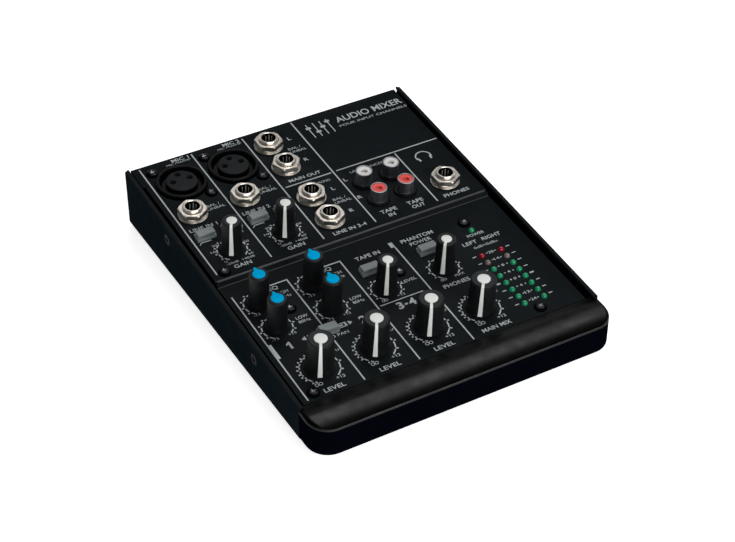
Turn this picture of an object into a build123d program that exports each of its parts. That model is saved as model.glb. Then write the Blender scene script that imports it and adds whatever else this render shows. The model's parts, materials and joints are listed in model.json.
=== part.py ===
from build123d import *
import math
import os

# Compact four-channel mixing console. Millimetres. +X right, +Y rear, +Z up.
# The origin is the centre of the bounding box, on the surface that the rubber feet rest on.
# "Setback" is the horizontal distance of a feature in front of the case's rear face.

# ---- case ----
WIDTH = 157.0
SIDE_PANEL_LENGTH = 182.0
SIDE_PANEL_THICKNESS = 1.5
CASE_LENGTH = 199.0
REAR_FITTING_PROUD = 1.6
REAR_Y = (CASE_LENGTH - REAR_FITTING_PROUD) / 2
FOOT_HEIGHT = 2.0
RIM_REAR_HEIGHT = 31.3
RIM_SLOPE = 0.071
SHEET = 1.2
PAN_SHEET = 1.0
FIT_GAP = 0.1

# ---- deck: a sloping panel, lower in front of a ramp ----
DECK_REAR_HEIGHT = 29.9
DECK_SLOPE = 0.068
DECK_ANGLE = math.degrees(math.atan(DECK_SLOPE))
DECK_HALF_WIDTH = 75.9
DECK_LENGTH = 178.6
STEP_DROP = 2.1
RAMP_START = 92.9
RAMP_END = 94.6
BEND_INNER_RADIUS = 0.5
DECK_LIP = 9.5

# ---- front bumper ----
BUMPER_START = 182.15
BUMPER_CORNER_RADIUS = 11.0
BUMPER_LEDGE = 0.6
BUMPER_WALL = 2.2
BUMPER_ROLL_START = 179.0

# ---- channel grid ----
CHANNEL_PITCH = 28.2
CHANNEL_1_X = -57.0
CHANNELS = [CHANNEL_1_X + CHANNEL_PITCH * i for i in range(4)]

# ---- boards ----
BOARD_THICKNESS = 1.6
BOARD_HALF_WIDTH = 73.5
MAIN_BOARD_DEPTH = 9.5
MAIN_BOARD_SETBACKS = (86.5, 175.5)
JACK_BOARD_DEPTH = 20.5
JACK_BOARD_SETBACKS = (3.0, 92.0)
JACK_BOARD_NOTCH = (12.0, 62.0, 16.0)
SEAT_GAP = 0.05

# ---- knobs: (name, x, setback, kind) ----
WHITE_SMALL = "white_small"
WHITE_LARGE = "white_large"
BLUE = "blue"
EQ_X_OFFSET = -4.8
KNOBS = [
    ("gain_1", CHANNELS[0], 75.4, WHITE_SMALL),
    ("gain_2", CHANNELS[1], 75.4, WHITE_SMALL),
    ("high_eq_1", CHANNELS[0] + EQ_X_OFFSET, 112.2, BLUE),
    ("high_eq_2", CHANNELS[1] + EQ_X_OFFSET, 112.2, BLUE),
    ("low_eq_1", CHANNELS[0] + EQ_X_OFFSET, 130.3, BLUE),
    ("low_eq_2", CHANNELS[1] + EQ_X_OFFSET, 130.3, BLUE),
    ("tape_level", -4.9, 130.4, WHITE_SMALL),
    ("phones_level", 26.7, 130.4, WHITE_SMALL),
    ("level_1", CHANNELS[0], 161.8, WHITE_LARGE),
    ("level_2", CHANNELS[1], 161.8, WHITE_LARGE),
    ("level_3_4", CHANNELS[2], 161.8, WHITE_LARGE),
    ("main_mix", CHANNELS[3] - 0.3, 161.8, WHITE_LARGE),
]
KNOB_FLOAT = 0.7
KNOB_HEIGHT = 18.3
KNOB_RADII = {WHITE_SMALL: (5.7, 4.6), WHITE_LARGE: (7.2, 6.0), BLUE: (5.6, 4.5)}
DOT_RADIUS = {WHITE_SMALL: 2.5, WHITE_LARGE: 3.1, BLUE: 2.9}
POINTER_DEPTH = 0.8
POINTER_LOW = 1.0
POINTER_WIDTHS = (2.5, 1.5)
NOSE_WIDTH = 1.9
MINIMUM_ANGLE = 150.0
SHAFT_RADIUS = 3.0
SHAFT_CLEARANCE = 0.05
SHAFT_TOP = 11.0
SHAFT_BOTTOM = -6.5
SHAFT_FLAT = 1.6
SHAFT_FLAT_START = 4.0
POT_SIDE = 11.0
KNOB_HOLE_RADIUS = 3.6

# ---- push buttons: (name, x, setback) ----
BUTTON_ROW_SETBACK = 61.2
LINE_BUTTON_OFFSET = -7.1
INSTRUMENT_BUTTON_OFFSET = 6.8
BUTTONS = [
    ("line_1_button", CHANNELS[0] + LINE_BUTTON_OFFSET, BUTTON_ROW_SETBACK),
    ("line_2_button", CHANNELS[1] + LINE_BUTTON_OFFSET, BUTTON_ROW_SETBACK),
    ("instrument_1_button", CHANNELS[0] + INSTRUMENT_BUTTON_OFFSET, BUTTON_ROW_SETBACK),
    ("instrument_2_button", CHANNELS[1] + INSTRUMENT_BUTTON_OFFSET, BUTTON_ROW_SETBACK),
    ("tape_in_button", -5.6, 116.2),
    ("phantom_power_button", 25.9, 116.2),
    ("stereo_pan_button", -42.6, 143.0),
]
BUTTON_SIZE = (9.8, 5.2)
BUTTON_HEIGHT = 3.6
BUTTON_TIER = 1.9
BUTTON_BELOW = 2.2
BUTTON_TRAVEL = 2.0
BUTTON_GAP = 0.3
STEM = 3.0
STEM_GAP = 0.15
STEM_BOTTOM = -7.0
SWITCH_TOP = -4.5
SWITCH_SIZE = (9.0, 7.0)

# ---- 6.35 mm jack sockets: (x, setback) ----
JACKS = [(-62.5, 44.2), (-34.3, 44.2), (-5.6, 13.5), (-5.6, 32.4), (-5.5, 58.8), (-5.5, 77.5), (59.4, 77.5)]
JACK_NUT_TURNS = [12, 40, 5, 33, 18, 50, 25]
JACK_BORE_RADIUS = 3.22
JACK_BUSHING_RADIUS = 4.7
JACK_BUSHING_TOP = 5.9
JACK_WASHER = (7.3, 0.8)
JACK_NUT_FLATS = 12.7
JACK_NUT_HEIGHT = 2.8
JACK_BODY = (13.0, 15.0)
JACK_BORE_DEPTH = 19.5
JACK_HOLE_RADIUS = 4.9

# ---- XLR sockets ----
XLR_SETBACK = 20.4
XLR_CENTRES = [(CHANNELS[0], XLR_SETBACK), (CHANNELS[1], XLR_SETBACK)]
XLR_RING_RADIUS = 12.7
XLR_RING_TOP = 2.2
XLR_WELL_RADIUS = 9.8
XLR_WELL_BEVEL = 0.8
XLR_WELL_DEPTH = 13.0
XLR_INSERT_RADIUS = 7.8
XLR_INSERT_TOP = 1.9
XLR_INSERT_FOOT_RADIUS = 8.6
XLR_PIN_CIRCLE = 4.5
XLR_PIN_SHIFT = 0.6
XLR_CONTACT_RADII = (1.25, 1.7)
XLR_CONTACT_HOLE = 1.78
XLR_CONTACT_DEPTH = 15.0
XLR_SCREW_OFFSET = (9.7, 13.0)
XLR_EAR_PLATE = (26.0, 31.0, 3.0)

# ---- RCA sockets ----
RCA_X = (22.9, 38.1)
RCA_SETBACKS = (60.2, 74.8)
RCA_BOSS_RADIUS = 5.6
RCA_BOSS_TOP = 0.9
RCA_SHELL_RADII = (3.6, 4.15)
RCA_SHELL_TOP = 7.7
RCA_SHELL_FOOT_RADIUS = 4.6
RCA_INSERT_TOP = 7.4
RCA_HOLE_RADIUS = 1.65
RCA_HOLE_DEPTH = 9.0
RCA_BLOCK_MARGIN = 7.2

# ---- LEDs ----
LED_RADIUS = 1.5
LED_HOLE_RADIUS = 1.6
LED_STRAIGHT = 0.1
METER_X = (46.9, 57.7)
METER_FIRST_SETBACK = 131.7
METER_PITCH = 5.28
METER_ROWS = 8
POWER_LED = (52.4, 113.5)

# ---- screws ----
SCREW_HEAD_RADIUS = 3.1
SCREW_HEAD_HEIGHT = 1.5
SCREW_SHANK_RADIUS = 1.45
SCREW_HOLE_RADIUS = 1.6
SCREW_LENGTH = 6.0
REAR_DECK_SCREWS = [(-67.3, 88.2)]
FRONT_DECK_SCREWS = [(-67.0, 174.2), (52.0, 174.2), (52.0, 107.3), (6.2, 123.6), (-51.0, 122.2)]
SPACER_RADIUS = 2.7
SIDE_SCREW_SETBACKS = (48.2, 139.1)
SIDE_SCREW_HEIGHTS = (20.4, 13.6)
SIDE_SCREW_HEAD_RADIUS = 2.9
SIDE_SCREW_SHANK_RADIUS = 1.4
BOTTOM_SCREW_X = (-50.0, 0.0, 50.0)
BOTTOM_SCREW_SETBACK = 188.0
BOSS_RADIUS = 3.2
BOSS_HEIGHT = 8.0
FOOT_RADIUS = 6.0
FOOT_X = 62.0
FOOT_SETBACKS = (16.0, 168.0)

# ---- rear panel ----
POWER_SWITCH_X = 52.0
POWER_SWITCH_HEIGHT = 15.0
ROCKER_OPENING = (9.0, 17.0)
SWITCH_BEZEL = (13.5, 21.0)
ROCKER_PIVOT_INSET = 3.2
ROCKER_TILT = 9.0
POWER_INLET_X = 24.0
POWER_INLET_HEIGHT = 15.0
INLET_RADIUS = 8.0
INLET_BORE_RADIUS = 5.6
INLET_BORE_DEPTH = 9.0
INLET_PIN_DEPTH = 3.0

os.makedirs("parts", exist_ok=True)


def write(name, solids):
    """Writes one node, as one solid or a group of separate solids."""
    shape = solids[0] if len(solids) == 1 else Compound(children=list(solids))
    export_step(shape, f"parts/{name}.step")


def deck_height(setback, front):
    """Height of the deck's top face above the resting surface."""
    drop = STEP_DROP if front else 0.0
    return FOOT_HEIGHT + DECK_REAR_HEIGHT - drop - DECK_SLOPE * setback


def is_front(setback):
    return setback > RAMP_END


def on_deck(x, setback, height=0.0, turn=0.0, front=None):
    """Local frame on the deck's top face: Z is the deck's normal and Y points to the rear."""
    if front is None:
        front = is_front(setback)
    base = Location((x, REAR_Y - setback, deck_height(setback, front)), (DECK_ANGLE, 0, 0))
    return base * Location((0, 0, height), (0, 0, turn))


def cylinder(radius, low, high):
    return Pos(0, 0, low) * Cylinder(radius, high - low, align=(Align.CENTER, Align.CENTER, Align.MIN))


def block(width, depth, low, high):
    return Pos(0, 0, low) * Box(width, depth, high - low, align=(Align.CENTER, Align.CENTER, Align.MIN))


def tube(inner, outer, low, high):
    return cylinder(outer, low, high) - cylinder(inner, low, high)


def revolved(points):
    """Solid of revolution about Z from (radius, height) points."""
    return revolve(make_face(Plane.XZ * Polyline(*points, close=True)), Axis.Z)


def side_face(points):
    """Face in the YZ plane from a (setback, height above the resting surface) outline."""
    return make_face(Polyline(*[(0, REAR_Y - setback, height) for setback, height in points], close=True))


def side_profile(points, half_width):
    """Extrudes a side outline across X."""
    return extrude(side_face(points), half_width, dir=(1, 0, 0), both=True)


# ---- casing ----
def deck_outline(inset, length, depth):
    """Outline of the stepped deck, from inset below its top face down to depth below it."""
    top = [
        (0.0, deck_height(0.0, False) - inset),
        (RAMP_START, deck_height(RAMP_START, False) - inset),
        (RAMP_END, deck_height(RAMP_END, True) - inset),
        (length, deck_height(length, True) - inset),
    ]
    bottom = [(setback, height - depth) for setback, height in reversed(top)]
    return top + bottom


def bent_deck(depth):
    """The stepped deck as folded sheet: each bend has an inner and an outer radius."""
    face = side_face(deck_outline(0, DECK_LENGTH, depth))
    outer_radius = BEND_INNER_RADIUS + SHEET
    bends = (
        (RAMP_START, (BEND_INNER_RADIUS, outer_radius)),
        (RAMP_END, (outer_radius, BEND_INNER_RADIUS)),
    )
    for setback, radii in bends:
        for end, radius in zip((0, -1), radii):
            at_bend = face.vertices().filter_by(lambda v: abs(v.Y - (REAR_Y - setback)) < 1e-4)
            face = fillet(at_bend.sort_by(Axis.Z)[end], radius)
    return extrude(face, DECK_HALF_WIDTH, dir=(1, 0, 0), both=True)


def make_top_panel():
    panel = bent_deck(SHEET)
    skirt = bent_deck(DECK_LIP)
    skirt -= side_profile(deck_outline(-1, DECK_LENGTH - SHEET, DECK_LIP + 2), DECK_HALF_WIDTH - SHEET)
    rear_relief = Pos(0, REAR_Y, deck_height(0, False) - SHEET) * Box(
        WIDTH, 2 * (PAN_SHEET + FIT_GAP), 2 * DECK_LIP, align=(Align.CENTER, Align.CENTER, Align.MAX)
    )
    panel = panel + (skirt - rear_relief)
    for x, setback in XLR_CENTRES:
        panel -= on_deck(x, setback) * cylinder(XLR_RING_RADIUS + 0.25, -3, 3)
        for dx, dy in xlr_screw_offsets():
            panel -= on_deck(x + dx, setback - dy) * cylinder(SCREW_HOLE_RADIUS, -3, 3)
    for x, setback in JACKS:
        panel -= on_deck(x, setback) * cylinder(JACK_HOLE_RADIUS, -3, 3)
    for x in RCA_X:
        for setback in RCA_SETBACKS:
            panel -= on_deck(x, setback) * cylinder(RCA_BOSS_RADIUS + 0.3, -3, 3)
    for _, x, setback, _ in KNOBS:
        panel -= on_deck(x, setback) * cylinder(KNOB_HOLE_RADIUS, -3, 3)
    for _, x, setback in BUTTONS:
        panel -= on_deck(x, setback) * block(
            BUTTON_SIZE[0] + 2 * BUTTON_GAP, BUTTON_SIZE[1] + 2 * BUTTON_GAP, -3, 3
        )
    for x, setback in led_places():
        panel -= on_deck(x, setback) * cylinder(LED_HOLE_RADIUS, -3, 3)
    for x, setback in REAR_DECK_SCREWS + FRONT_DECK_SCREWS:
        panel -= on_deck(x, setback) * cylinder(SCREW_HOLE_RADIUS, -3, 3)
    return panel - side_screw_holes()


def side_screw_holes():
    holes = []
    for setback, height in zip(SIDE_SCREW_SETBACKS, SIDE_SCREW_HEIGHTS):
        hole = cylinder(SIDE_SCREW_SHANK_RADIUS + 0.1, -WIDTH, WIDTH)
        holes.append(Location((0, REAR_Y - setback, FOOT_HEIGHT + height), (0, 90, 0)) * hole)
    return holes


def pan_half_width():
    return WIDTH / 2 - SIDE_PANEL_THICKNESS


def front_wall_setback():
    return DECK_LENGTH + FIT_GAP


def make_bottom_pan():
    half = pan_half_width()
    wall_front = front_wall_setback() + PAN_SHEET
    floor_low = FOOT_HEIGHT
    floor_high = FOOT_HEIGHT + PAN_SHEET
    floor = side_profile(
        [(0, floor_low), (wall_front, floor_low), (wall_front, floor_high), (0, floor_high)], half
    )
    tongue_front = BOTTOM_SCREW_SETBACK + 5.0
    tongue = side_profile(
        [
            (wall_front, floor_low),
            (tongue_front, floor_low),
            (tongue_front, floor_high),
            (wall_front, floor_high),
        ],
        BOTTOM_SCREW_X[2] + 8.0,
    )
    rear_top = deck_height(0, False) - SHEET - FIT_GAP
    rear_wall = side_profile(
        [(0, floor_low), (PAN_SHEET, floor_low), (PAN_SHEET, rear_top - 0.07), (0, rear_top)], DECK_HALF_WIDTH
    )
    front_top = deck_height(DECK_LENGTH, True) - 2.2
    front_wall = side_profile(
        [
            (front_wall_setback(), floor_low),
            (wall_front, floor_low),
            (wall_front, front_top),
            (front_wall_setback(), front_top),
        ],
        half,
    )
    walls = side_profile(
        [
            (0, floor_low),
            (wall_front, floor_low),
            (wall_front, deck_height(wall_front, True) - 4.0),
            (0, deck_height(0, False) - 6.0),
        ],
        half,
    )
    walls -= Box(2 * (half - PAN_SHEET), 400, 400)
    pan = floor + tongue + rear_wall + front_wall + walls
    pan -= side_screw_holes()
    for x in BOTTOM_SCREW_X:
        pan -= Pos(x, REAR_Y - BOTTOM_SCREW_SETBACK, FOOT_HEIGHT) * cylinder(SCREW_HOLE_RADIUS, -1, 3)
    pan -= rear_place(POWER_SWITCH_X, POWER_SWITCH_HEIGHT) * block(11.4, 19.2, -4, 2)
    pan -= rear_place(POWER_INLET_X, POWER_INLET_HEIGHT) * cylinder(INLET_RADIUS - 1.1, -4, 2)
    return pan


def make_side_panel(side):
    """Flat steel end plate, sloping with the deck, with rounded corners and a softened outer edge."""
    low = FOOT_HEIGHT
    rear_top = FOOT_HEIGHT + RIM_REAR_HEIGHT
    front_top = rear_top - RIM_SLOPE * SIDE_PANEL_LENGTH
    face = make_face(
        Polyline(
            (0, REAR_Y, low),
            (0, REAR_Y, rear_top),
            (0, REAR_Y - SIDE_PANEL_LENGTH, front_top),
            (0, REAR_Y - SIDE_PANEL_LENGTH, low),
            close=True,
        )
    )
    plate = extrude(face, SIDE_PANEL_THICKNESS, dir=(side, 0, 0))
    plate = Pos(side * pan_half_width(), 0, 0) * plate
    across = plate.edges().filter_by(Axis.X)
    rear_corners = across.sort_by(Axis.Y)[-2:]
    plate = fillet(rear_corners, 1.2)
    outer = plate.faces().sort_by(Axis.X)[-1 if side > 0 else 0]
    long_edges = outer.edges().filter_by(lambda e: e.length > 100)
    plate = fillet(long_edges, 0.9)
    for setback, height in zip(SIDE_SCREW_SETBACKS, SIDE_SCREW_HEIGHTS):
        plate -= side_screw_place(side, setback, height) * side_screw_cutter(0.1)
    return plate


def side_screw_place(side, setback, height):
    """Local frame with Z pointing out of the side panel and its origin on the outer face."""
    return Location((side * WIDTH / 2, REAR_Y - setback, FOOT_HEIGHT + height), (0, side * 90, 0))


def side_screw_cutter(gap):
    head = SIDE_SCREW_HEAD_RADIUS + gap
    shank = SIDE_SCREW_SHANK_RADIUS + gap
    return revolved([(0, 0.5), (head, 0.5), (head, -0.2), (shank, -1.3), (shank, -6), (0, -6)])


def bumper_plan(inset):
    """Top view of the bumper: straight sides, rounded front corners."""
    half = WIDTH / 2 - inset
    front = REAR_Y - CASE_LENGTH + inset
    rear = REAR_Y - BUMPER_START
    radius = BUMPER_CORNER_RADIUS - inset
    outline = Polyline((-half, rear), (-half, front), (half, front), (half, rear), close=True)
    face = make_face(outline)
    return fillet(face.vertices().group_by(Axis.Y)[0], radius)


def bumper_roll(lower):
    """Side view of the roll that rises from the deck, crests and falls to the ledge."""
    start = BUMPER_ROLL_START
    start_height = deck_height(start, True) - lower
    crest = (186.8, deck_height(186.8, True) + 2.5 - lower)
    end = (CASE_LENGTH - BUMPER_LEDGE, FOOT_HEIGHT + 14.6 - lower)
    points = [(0, REAR_Y - s, h) for s, h in ((start, start_height), crest, end)]
    curve = Spline(*points, tangents=[(0, -1, 0.12), (0, -0.35, -1)])
    floor = Polyline(points[2], (0, points[2][1], FOOT_HEIGHT - 5), (0, points[0][1], FOOT_HEIGHT - 5), points[0])
    return extrude(make_face(Wire([*curve.edges(), *floor.edges()])), WIDTH, dir=(1, 0, 0), both=True)


def make_front_bumper():
    """Hollow moulding: a rounded roll over a vertical wall, with a ledge between them."""
    low = FOOT_HEIGHT + 0.1
    ledge = FOOT_HEIGHT + 14.2
    body = extrude(Pos(0, 0, low) * bumper_plan(0), ledge - low)
    for end, radius in ((0, 1.2), (-1, 0.5)):
        rim = body.faces().sort_by(Axis.Z)[end].edges()
        body = fillet(rim.filter_by(lambda e: e.center().Y < REAR_Y - BUMPER_START - 0.5), radius)
    upper = extrude(Pos(0, 0, ledge - 0.5) * bumper_plan(BUMPER_LEDGE), 12)
    rear_strip = Pos(0, REAR_Y - BUMPER_START, ledge - 0.5) * Box(
        2 * DECK_HALF_WIDTH,
        2 * (BUMPER_START - BUMPER_ROLL_START),
        12,
        align=(Align.CENTER, Align.CENTER, Align.MIN),
    )
    upper = (upper + rear_strip) & bumper_roll(0)
    shell = body + upper
    cavity = extrude(Pos(0, 0, low - 1) * bumper_plan(BUMPER_WALL), 25)
    cavity += Pos(0, REAR_Y - BUMPER_START, low - 1) * Box(
        2 * (WIDTH / 2 - BUMPER_WALL), 8, 25, align=(Align.CENTER, Align.CENTER, Align.MIN)
    )
    shell -= cavity & bumper_roll(BUMPER_WALL)
    for x in BOTTOM_SCREW_X:
        boss_base = FOOT_HEIGHT + PAN_SHEET + SEAT_GAP
        boss = Pos(x, REAR_Y - BOTTOM_SCREW_SETBACK, 0) * cylinder(BOSS_RADIUS, boss_base, boss_base + 18)
        shell += boss & bumper_roll(1.0)
        shell -= Pos(x, REAR_Y - BOTTOM_SCREW_SETBACK, 0) * cylinder(
            SCREW_SHANK_RADIUS + SEAT_GAP, boss_base - 1, boss_base + BOSS_HEIGHT
        )
    tongue_room = Pos(0, REAR_Y - BOTTOM_SCREW_SETBACK, 0) * Box(
        2 * (BOTTOM_SCREW_X[2] + 8.2), 2 * 5.2, 2 * (FOOT_HEIGHT + PAN_SHEET + SEAT_GAP / 2)
    )
    return shell - tongue_room


# ---- boards and what they carry ----
def make_board(depth, setbacks, front):
    middle = sum(setbacks) / 2
    length = (setbacks[1] - setbacks[0]) / math.cos(math.radians(DECK_ANGLE))
    place = on_deck(0, middle, front=front)
    return place * block(2 * BOARD_HALF_WIDTH, length, -depth - BOARD_THICKNESS, -depth)


def make_jack_board():
    """The rear board, notched around the fittings of the rear wall."""
    left, right, reach = JACK_BOARD_NOTCH
    notch = Pos((left + right) / 2, REAR_Y, FOOT_HEIGHT) * Box(right - left, 2 * reach, 60)
    return make_board(JACK_BOARD_DEPTH, JACK_BOARD_SETBACKS, False) - notch


def make_board_components():
    """Chips under the main board, capacitors on the jack board, and the header joining the boards."""
    pieces = []
    chip_top = -MAIN_BOARD_DEPTH - BOARD_THICKNESS - SEAT_GAP
    for column in range(6):
        for setback in (112.0, 146.0):
            x = -55.0 + 22.0 * column
            pieces.append(on_deck(x, setback) * block(8.7, 3.9, chip_top - 1.5, chip_top))
    for x in (12.0, 50.5, 62.0):
        for setback in (22.0, 36.0, 50.0):
            can = on_deck(x, setback) * cylinder(3.15, -JACK_BOARD_DEPTH + SEAT_GAP, -JACK_BOARD_DEPTH + 11)
            pieces.append(can)
    header_setback = 89.3
    gap = MAIN_BOARD_DEPTH + BOARD_THICKNESS + STEP_DROP
    header = on_deck(20, header_setback, front=False) * block(
        40, 4.6, -JACK_BOARD_DEPTH + SEAT_GAP, -gap - SEAT_GAP
    )
    pieces.append(header)
    return pieces


def spacer_holes():
    return [(x, s, False) for x, s in REAR_DECK_SCREWS] + [(x, s, True) for x, s in FRONT_DECK_SCREWS]


def make_board_spacers():
    pieces = []
    for x, setback, front in spacer_holes():
        bottom = -MAIN_BOARD_DEPTH if front else -MAIN_BOARD_DEPTH - STEP_DROP
        spacer = cylinder(SPACER_RADIUS, bottom + SEAT_GAP, -SHEET - SEAT_GAP)
        spacer -= cylinder(SCREW_SHANK_RADIUS + SEAT_GAP, -SHEET - SCREW_LENGTH - 0.5, 0)
        pieces.append(on_deck(x, setback, front=front) * spacer)
    return pieces


def body_floor(setback):
    depth = MAIN_BOARD_DEPTH if is_front(setback) else JACK_BOARD_DEPTH
    return -depth + SEAT_GAP


def make_pot_bodies():
    pieces = []
    for _, x, setback, _ in KNOBS:
        pot = block(POT_SIDE, POT_SIDE, body_floor(setback), -SHEET - SEAT_GAP)
        pot -= cylinder(SHAFT_RADIUS + SHAFT_CLEARANCE, SHAFT_BOTTOM - 0.2, 0)
        pieces.append(on_deck(x, setback) * pot)
    return pieces


def make_switch_bodies():
    pieces = []
    for _, x, setback in BUTTONS:
        switch = block(*SWITCH_SIZE, body_floor(setback), SWITCH_TOP)
        well = STEM + 2 * STEM_GAP
        switch -= block(well, well, STEM_BOTTOM - BUTTON_TRAVEL - 0.2, 0)
        pieces.append(on_deck(x, setback) * switch)
    return pieces


# ---- controls ----
def shaft_flat_space(gap):
    """The space beyond the flat of the D-shaped shaft."""
    space = block(2 * SHAFT_RADIUS, 3 * SHAFT_RADIUS, SHAFT_FLAT_START + gap, KNOB_HEIGHT)
    return Pos(SHAFT_FLAT + SHAFT_RADIUS + gap, 0, 0) * space


def make_shaft():
    return cylinder(SHAFT_RADIUS, SHAFT_BOTTOM, SHAFT_TOP) - shaft_flat_space(0)


def knob_shell(kind):
    base, top = KNOB_RADII[kind]
    height = KNOB_HEIGHT
    profile = [
        (0, KNOB_FLOAT),
        (base, KNOB_FLOAT),
        (base, KNOB_FLOAT + 0.8),
        (base - 0.45, 3.6),
        (top + 0.15, height - 3.0),
        (top, height - 0.5),
        (top - 0.5, height),
        (top - 1.0, height),
        (top - 1.2, height - 0.3),
        (0, height - 0.3),
    ]
    shell = revolved(profile)
    bore = cylinder(SHAFT_RADIUS + SHAFT_CLEARANCE, 0, SHAFT_TOP + 0.2)
    shell -= bore - shaft_flat_space(SHAFT_CLEARANCE)
    shell -= cylinder(SHAFT_RADIUS + 1.0, 0, 2.4)
    return shell


def knob_pointer(kind):
    """Dot on the top with a line down the side for a white knob, or a dot with a nose for a blue one."""
    base, top = KNOB_RADII[kind]
    dot = cylinder(DOT_RADIUS[kind], KNOB_HEIGHT - 1.2, KNOB_HEIGHT)
    if kind == BLUE:
        nose = Pos(0, (top + 0.7) / 2, KNOB_HEIGHT - 1.2) * Box(
            NOSE_WIDTH, top + 0.7, 1.2, align=(Align.CENTER, Align.CENTER, Align.MIN)
        )
        return dot + nose
    foot, tip = (width / 2 for width in POINTER_WIDTHS)
    stripe = Polyline(
        (-foot, 0, POINTER_LOW), (foot, 0, POINTER_LOW), (tip, 0, KNOB_HEIGHT), (-tip, 0, KNOB_HEIGHT), close=True
    )
    line = extrude(make_face(stripe), base + 1, dir=(0, 1, 0))
    outside = revolved(
        [
            (0, 0),
            (base + 0.05, 0),
            (base + 0.05, KNOB_FLOAT + 0.8),
            (base - 0.4, 3.6),
            (top + 0.2, KNOB_HEIGHT - 3.0),
            (top + 0.05, KNOB_HEIGHT),
            (0, KNOB_HEIGHT),
        ]
    )
    inside = revolved(
        [
            (0, 0),
            (base - 0.4 - POINTER_DEPTH, 0),
            (top + 0.2 - POINTER_DEPTH, KNOB_HEIGHT - 3.0),
            (top - POINTER_DEPTH, KNOB_HEIGHT - 1.2),
            (0, KNOB_HEIGHT - 1.2),
        ]
    )
    return dot + ((line & outside) - inside)


def make_knob(kind):
    """A dark shell with its coloured pointer moulded into it, as two solids."""
    pointer = knob_pointer(kind)
    return [knob_shell(kind) - pointer, pointer]


def make_button():
    width, depth = BUTTON_SIZE
    lower = block(width, depth, -BUTTON_BELOW, BUTTON_TIER)
    waist = block(width - 1.2, depth - 1.2, BUTTON_TIER, BUTTON_TIER + 0.35)
    upper = block(width - 0.3, depth - 0.3, BUTTON_TIER + 0.35, BUTTON_HEIGHT)
    upper = chamfer(upper.faces().sort_by(Axis.Z)[-1].edges(), 0.5)
    stem = block(STEM, STEM, STEM_BOTTOM, -BUTTON_BELOW)
    return lower + waist + upper + stem


# ---- sockets ----
def make_jack_bushing():
    top = JACK_BUSHING_TOP
    outer = JACK_BUSHING_RADIUS
    bore = JACK_BORE_RADIUS
    return revolved(
        [
            (bore, -SHEET - SEAT_GAP),
            (outer, -SHEET - SEAT_GAP),
            (outer, top - 0.7),
            (outer - 0.7, top),
            (bore + 0.5, top),
            (bore, top - 0.5),
        ]
    )


def make_jack_washer():
    radius, thickness = JACK_WASHER
    return tube(JACK_BUSHING_RADIUS + 0.1, radius, SEAT_GAP, thickness)


def make_jack_nut(turn):
    low = JACK_WASHER[1] + SEAT_GAP
    high = low + JACK_NUT_HEIGHT
    hexagon = RegularPolygon(JACK_NUT_FLATS / 2, 6, major_radius=False)
    nut = extrude(Pos(0, 0, low) * hexagon, JACK_NUT_HEIGHT)
    corner = JACK_NUT_FLATS / 2 / math.cos(math.radians(30))
    cone = revolved(
        [(0, low), (corner + 0.1, low), (corner + 0.1, high - 1.0), (JACK_NUT_FLATS / 2 - 0.7, high), (0, high)]
    )
    nut = (nut & cone) - cylinder(JACK_BUSHING_RADIUS + 0.1, low - 1, high + 1)
    return Location((0, 0, 0), (0, 0, turn)) * nut


def make_jack_body():
    low = -JACK_BOARD_DEPTH + SEAT_GAP
    high = -SHEET - 2 * SEAT_GAP
    body = block(*JACK_BODY, low, high)
    return body - cylinder(JACK_BORE_RADIUS, -JACK_BORE_DEPTH, 0)


def xlr_screw_offsets():
    dx, dy = XLR_SCREW_OFFSET
    return [(-dx, dy), (dx, -dy)]


def xlr_pin_places():
    return [
        (
            XLR_PIN_CIRCLE * math.cos(math.radians(angle)),
            XLR_PIN_SHIFT + XLR_PIN_CIRCLE * math.sin(math.radians(angle)),
        )
        for angle in (0, 90, 180)
    ]


def make_xlr_shell():
    low = -JACK_BOARD_DEPTH + SEAT_GAP
    profile = [
        (XLR_WELL_RADIUS, -XLR_WELL_DEPTH),
        (XLR_WELL_RADIUS, XLR_RING_TOP - XLR_WELL_BEVEL),
        (XLR_WELL_RADIUS + XLR_WELL_BEVEL, XLR_RING_TOP),
        (XLR_RING_RADIUS - 0.9, XLR_RING_TOP),
        (XLR_RING_RADIUS - 0.2, XLR_RING_TOP - 0.3),
        (XLR_RING_RADIUS, XLR_RING_TOP - 0.9),
        (XLR_RING_RADIUS, low),
        (XLR_INSERT_FOOT_RADIUS + FIT_GAP, low),
        (XLR_INSERT_FOOT_RADIUS + FIT_GAP, -XLR_WELL_DEPTH),
    ]
    shell = revolved(profile)
    width, depth, thickness = XLR_EAR_PLATE
    top = -SHEET - SEAT_GAP
    plate = block(width, depth, top - thickness, top) - cylinder(XLR_RING_RADIUS - 1, -10, 0)
    shell += plate
    for dx, dy in xlr_screw_offsets():
        shell -= Pos(dx, dy, 0) * cylinder(SCREW_SHANK_RADIUS + SEAT_GAP, -8, 0)
    return shell


def make_xlr_insert():
    low = -JACK_BOARD_DEPTH + SEAT_GAP
    insert = revolved(
        [
            (0, low),
            (XLR_INSERT_FOOT_RADIUS, low),
            (XLR_INSERT_FOOT_RADIUS, -XLR_WELL_DEPTH),
            (XLR_INSERT_RADIUS, -XLR_WELL_DEPTH),
            (XLR_INSERT_RADIUS, XLR_INSERT_TOP - 0.4),
            (XLR_INSERT_RADIUS - 0.4, XLR_INSERT_TOP),
            (0, XLR_INSERT_TOP),
        ]
    )
    for px, py in xlr_pin_places():
        insert -= Pos(px, py, 0) * cylinder(XLR_CONTACT_HOLE, -XLR_CONTACT_DEPTH - 0.5, 5)
    return insert


def rca_places():
    return [(x, setback) for setback in RCA_SETBACKS for x in RCA_X]


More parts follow.
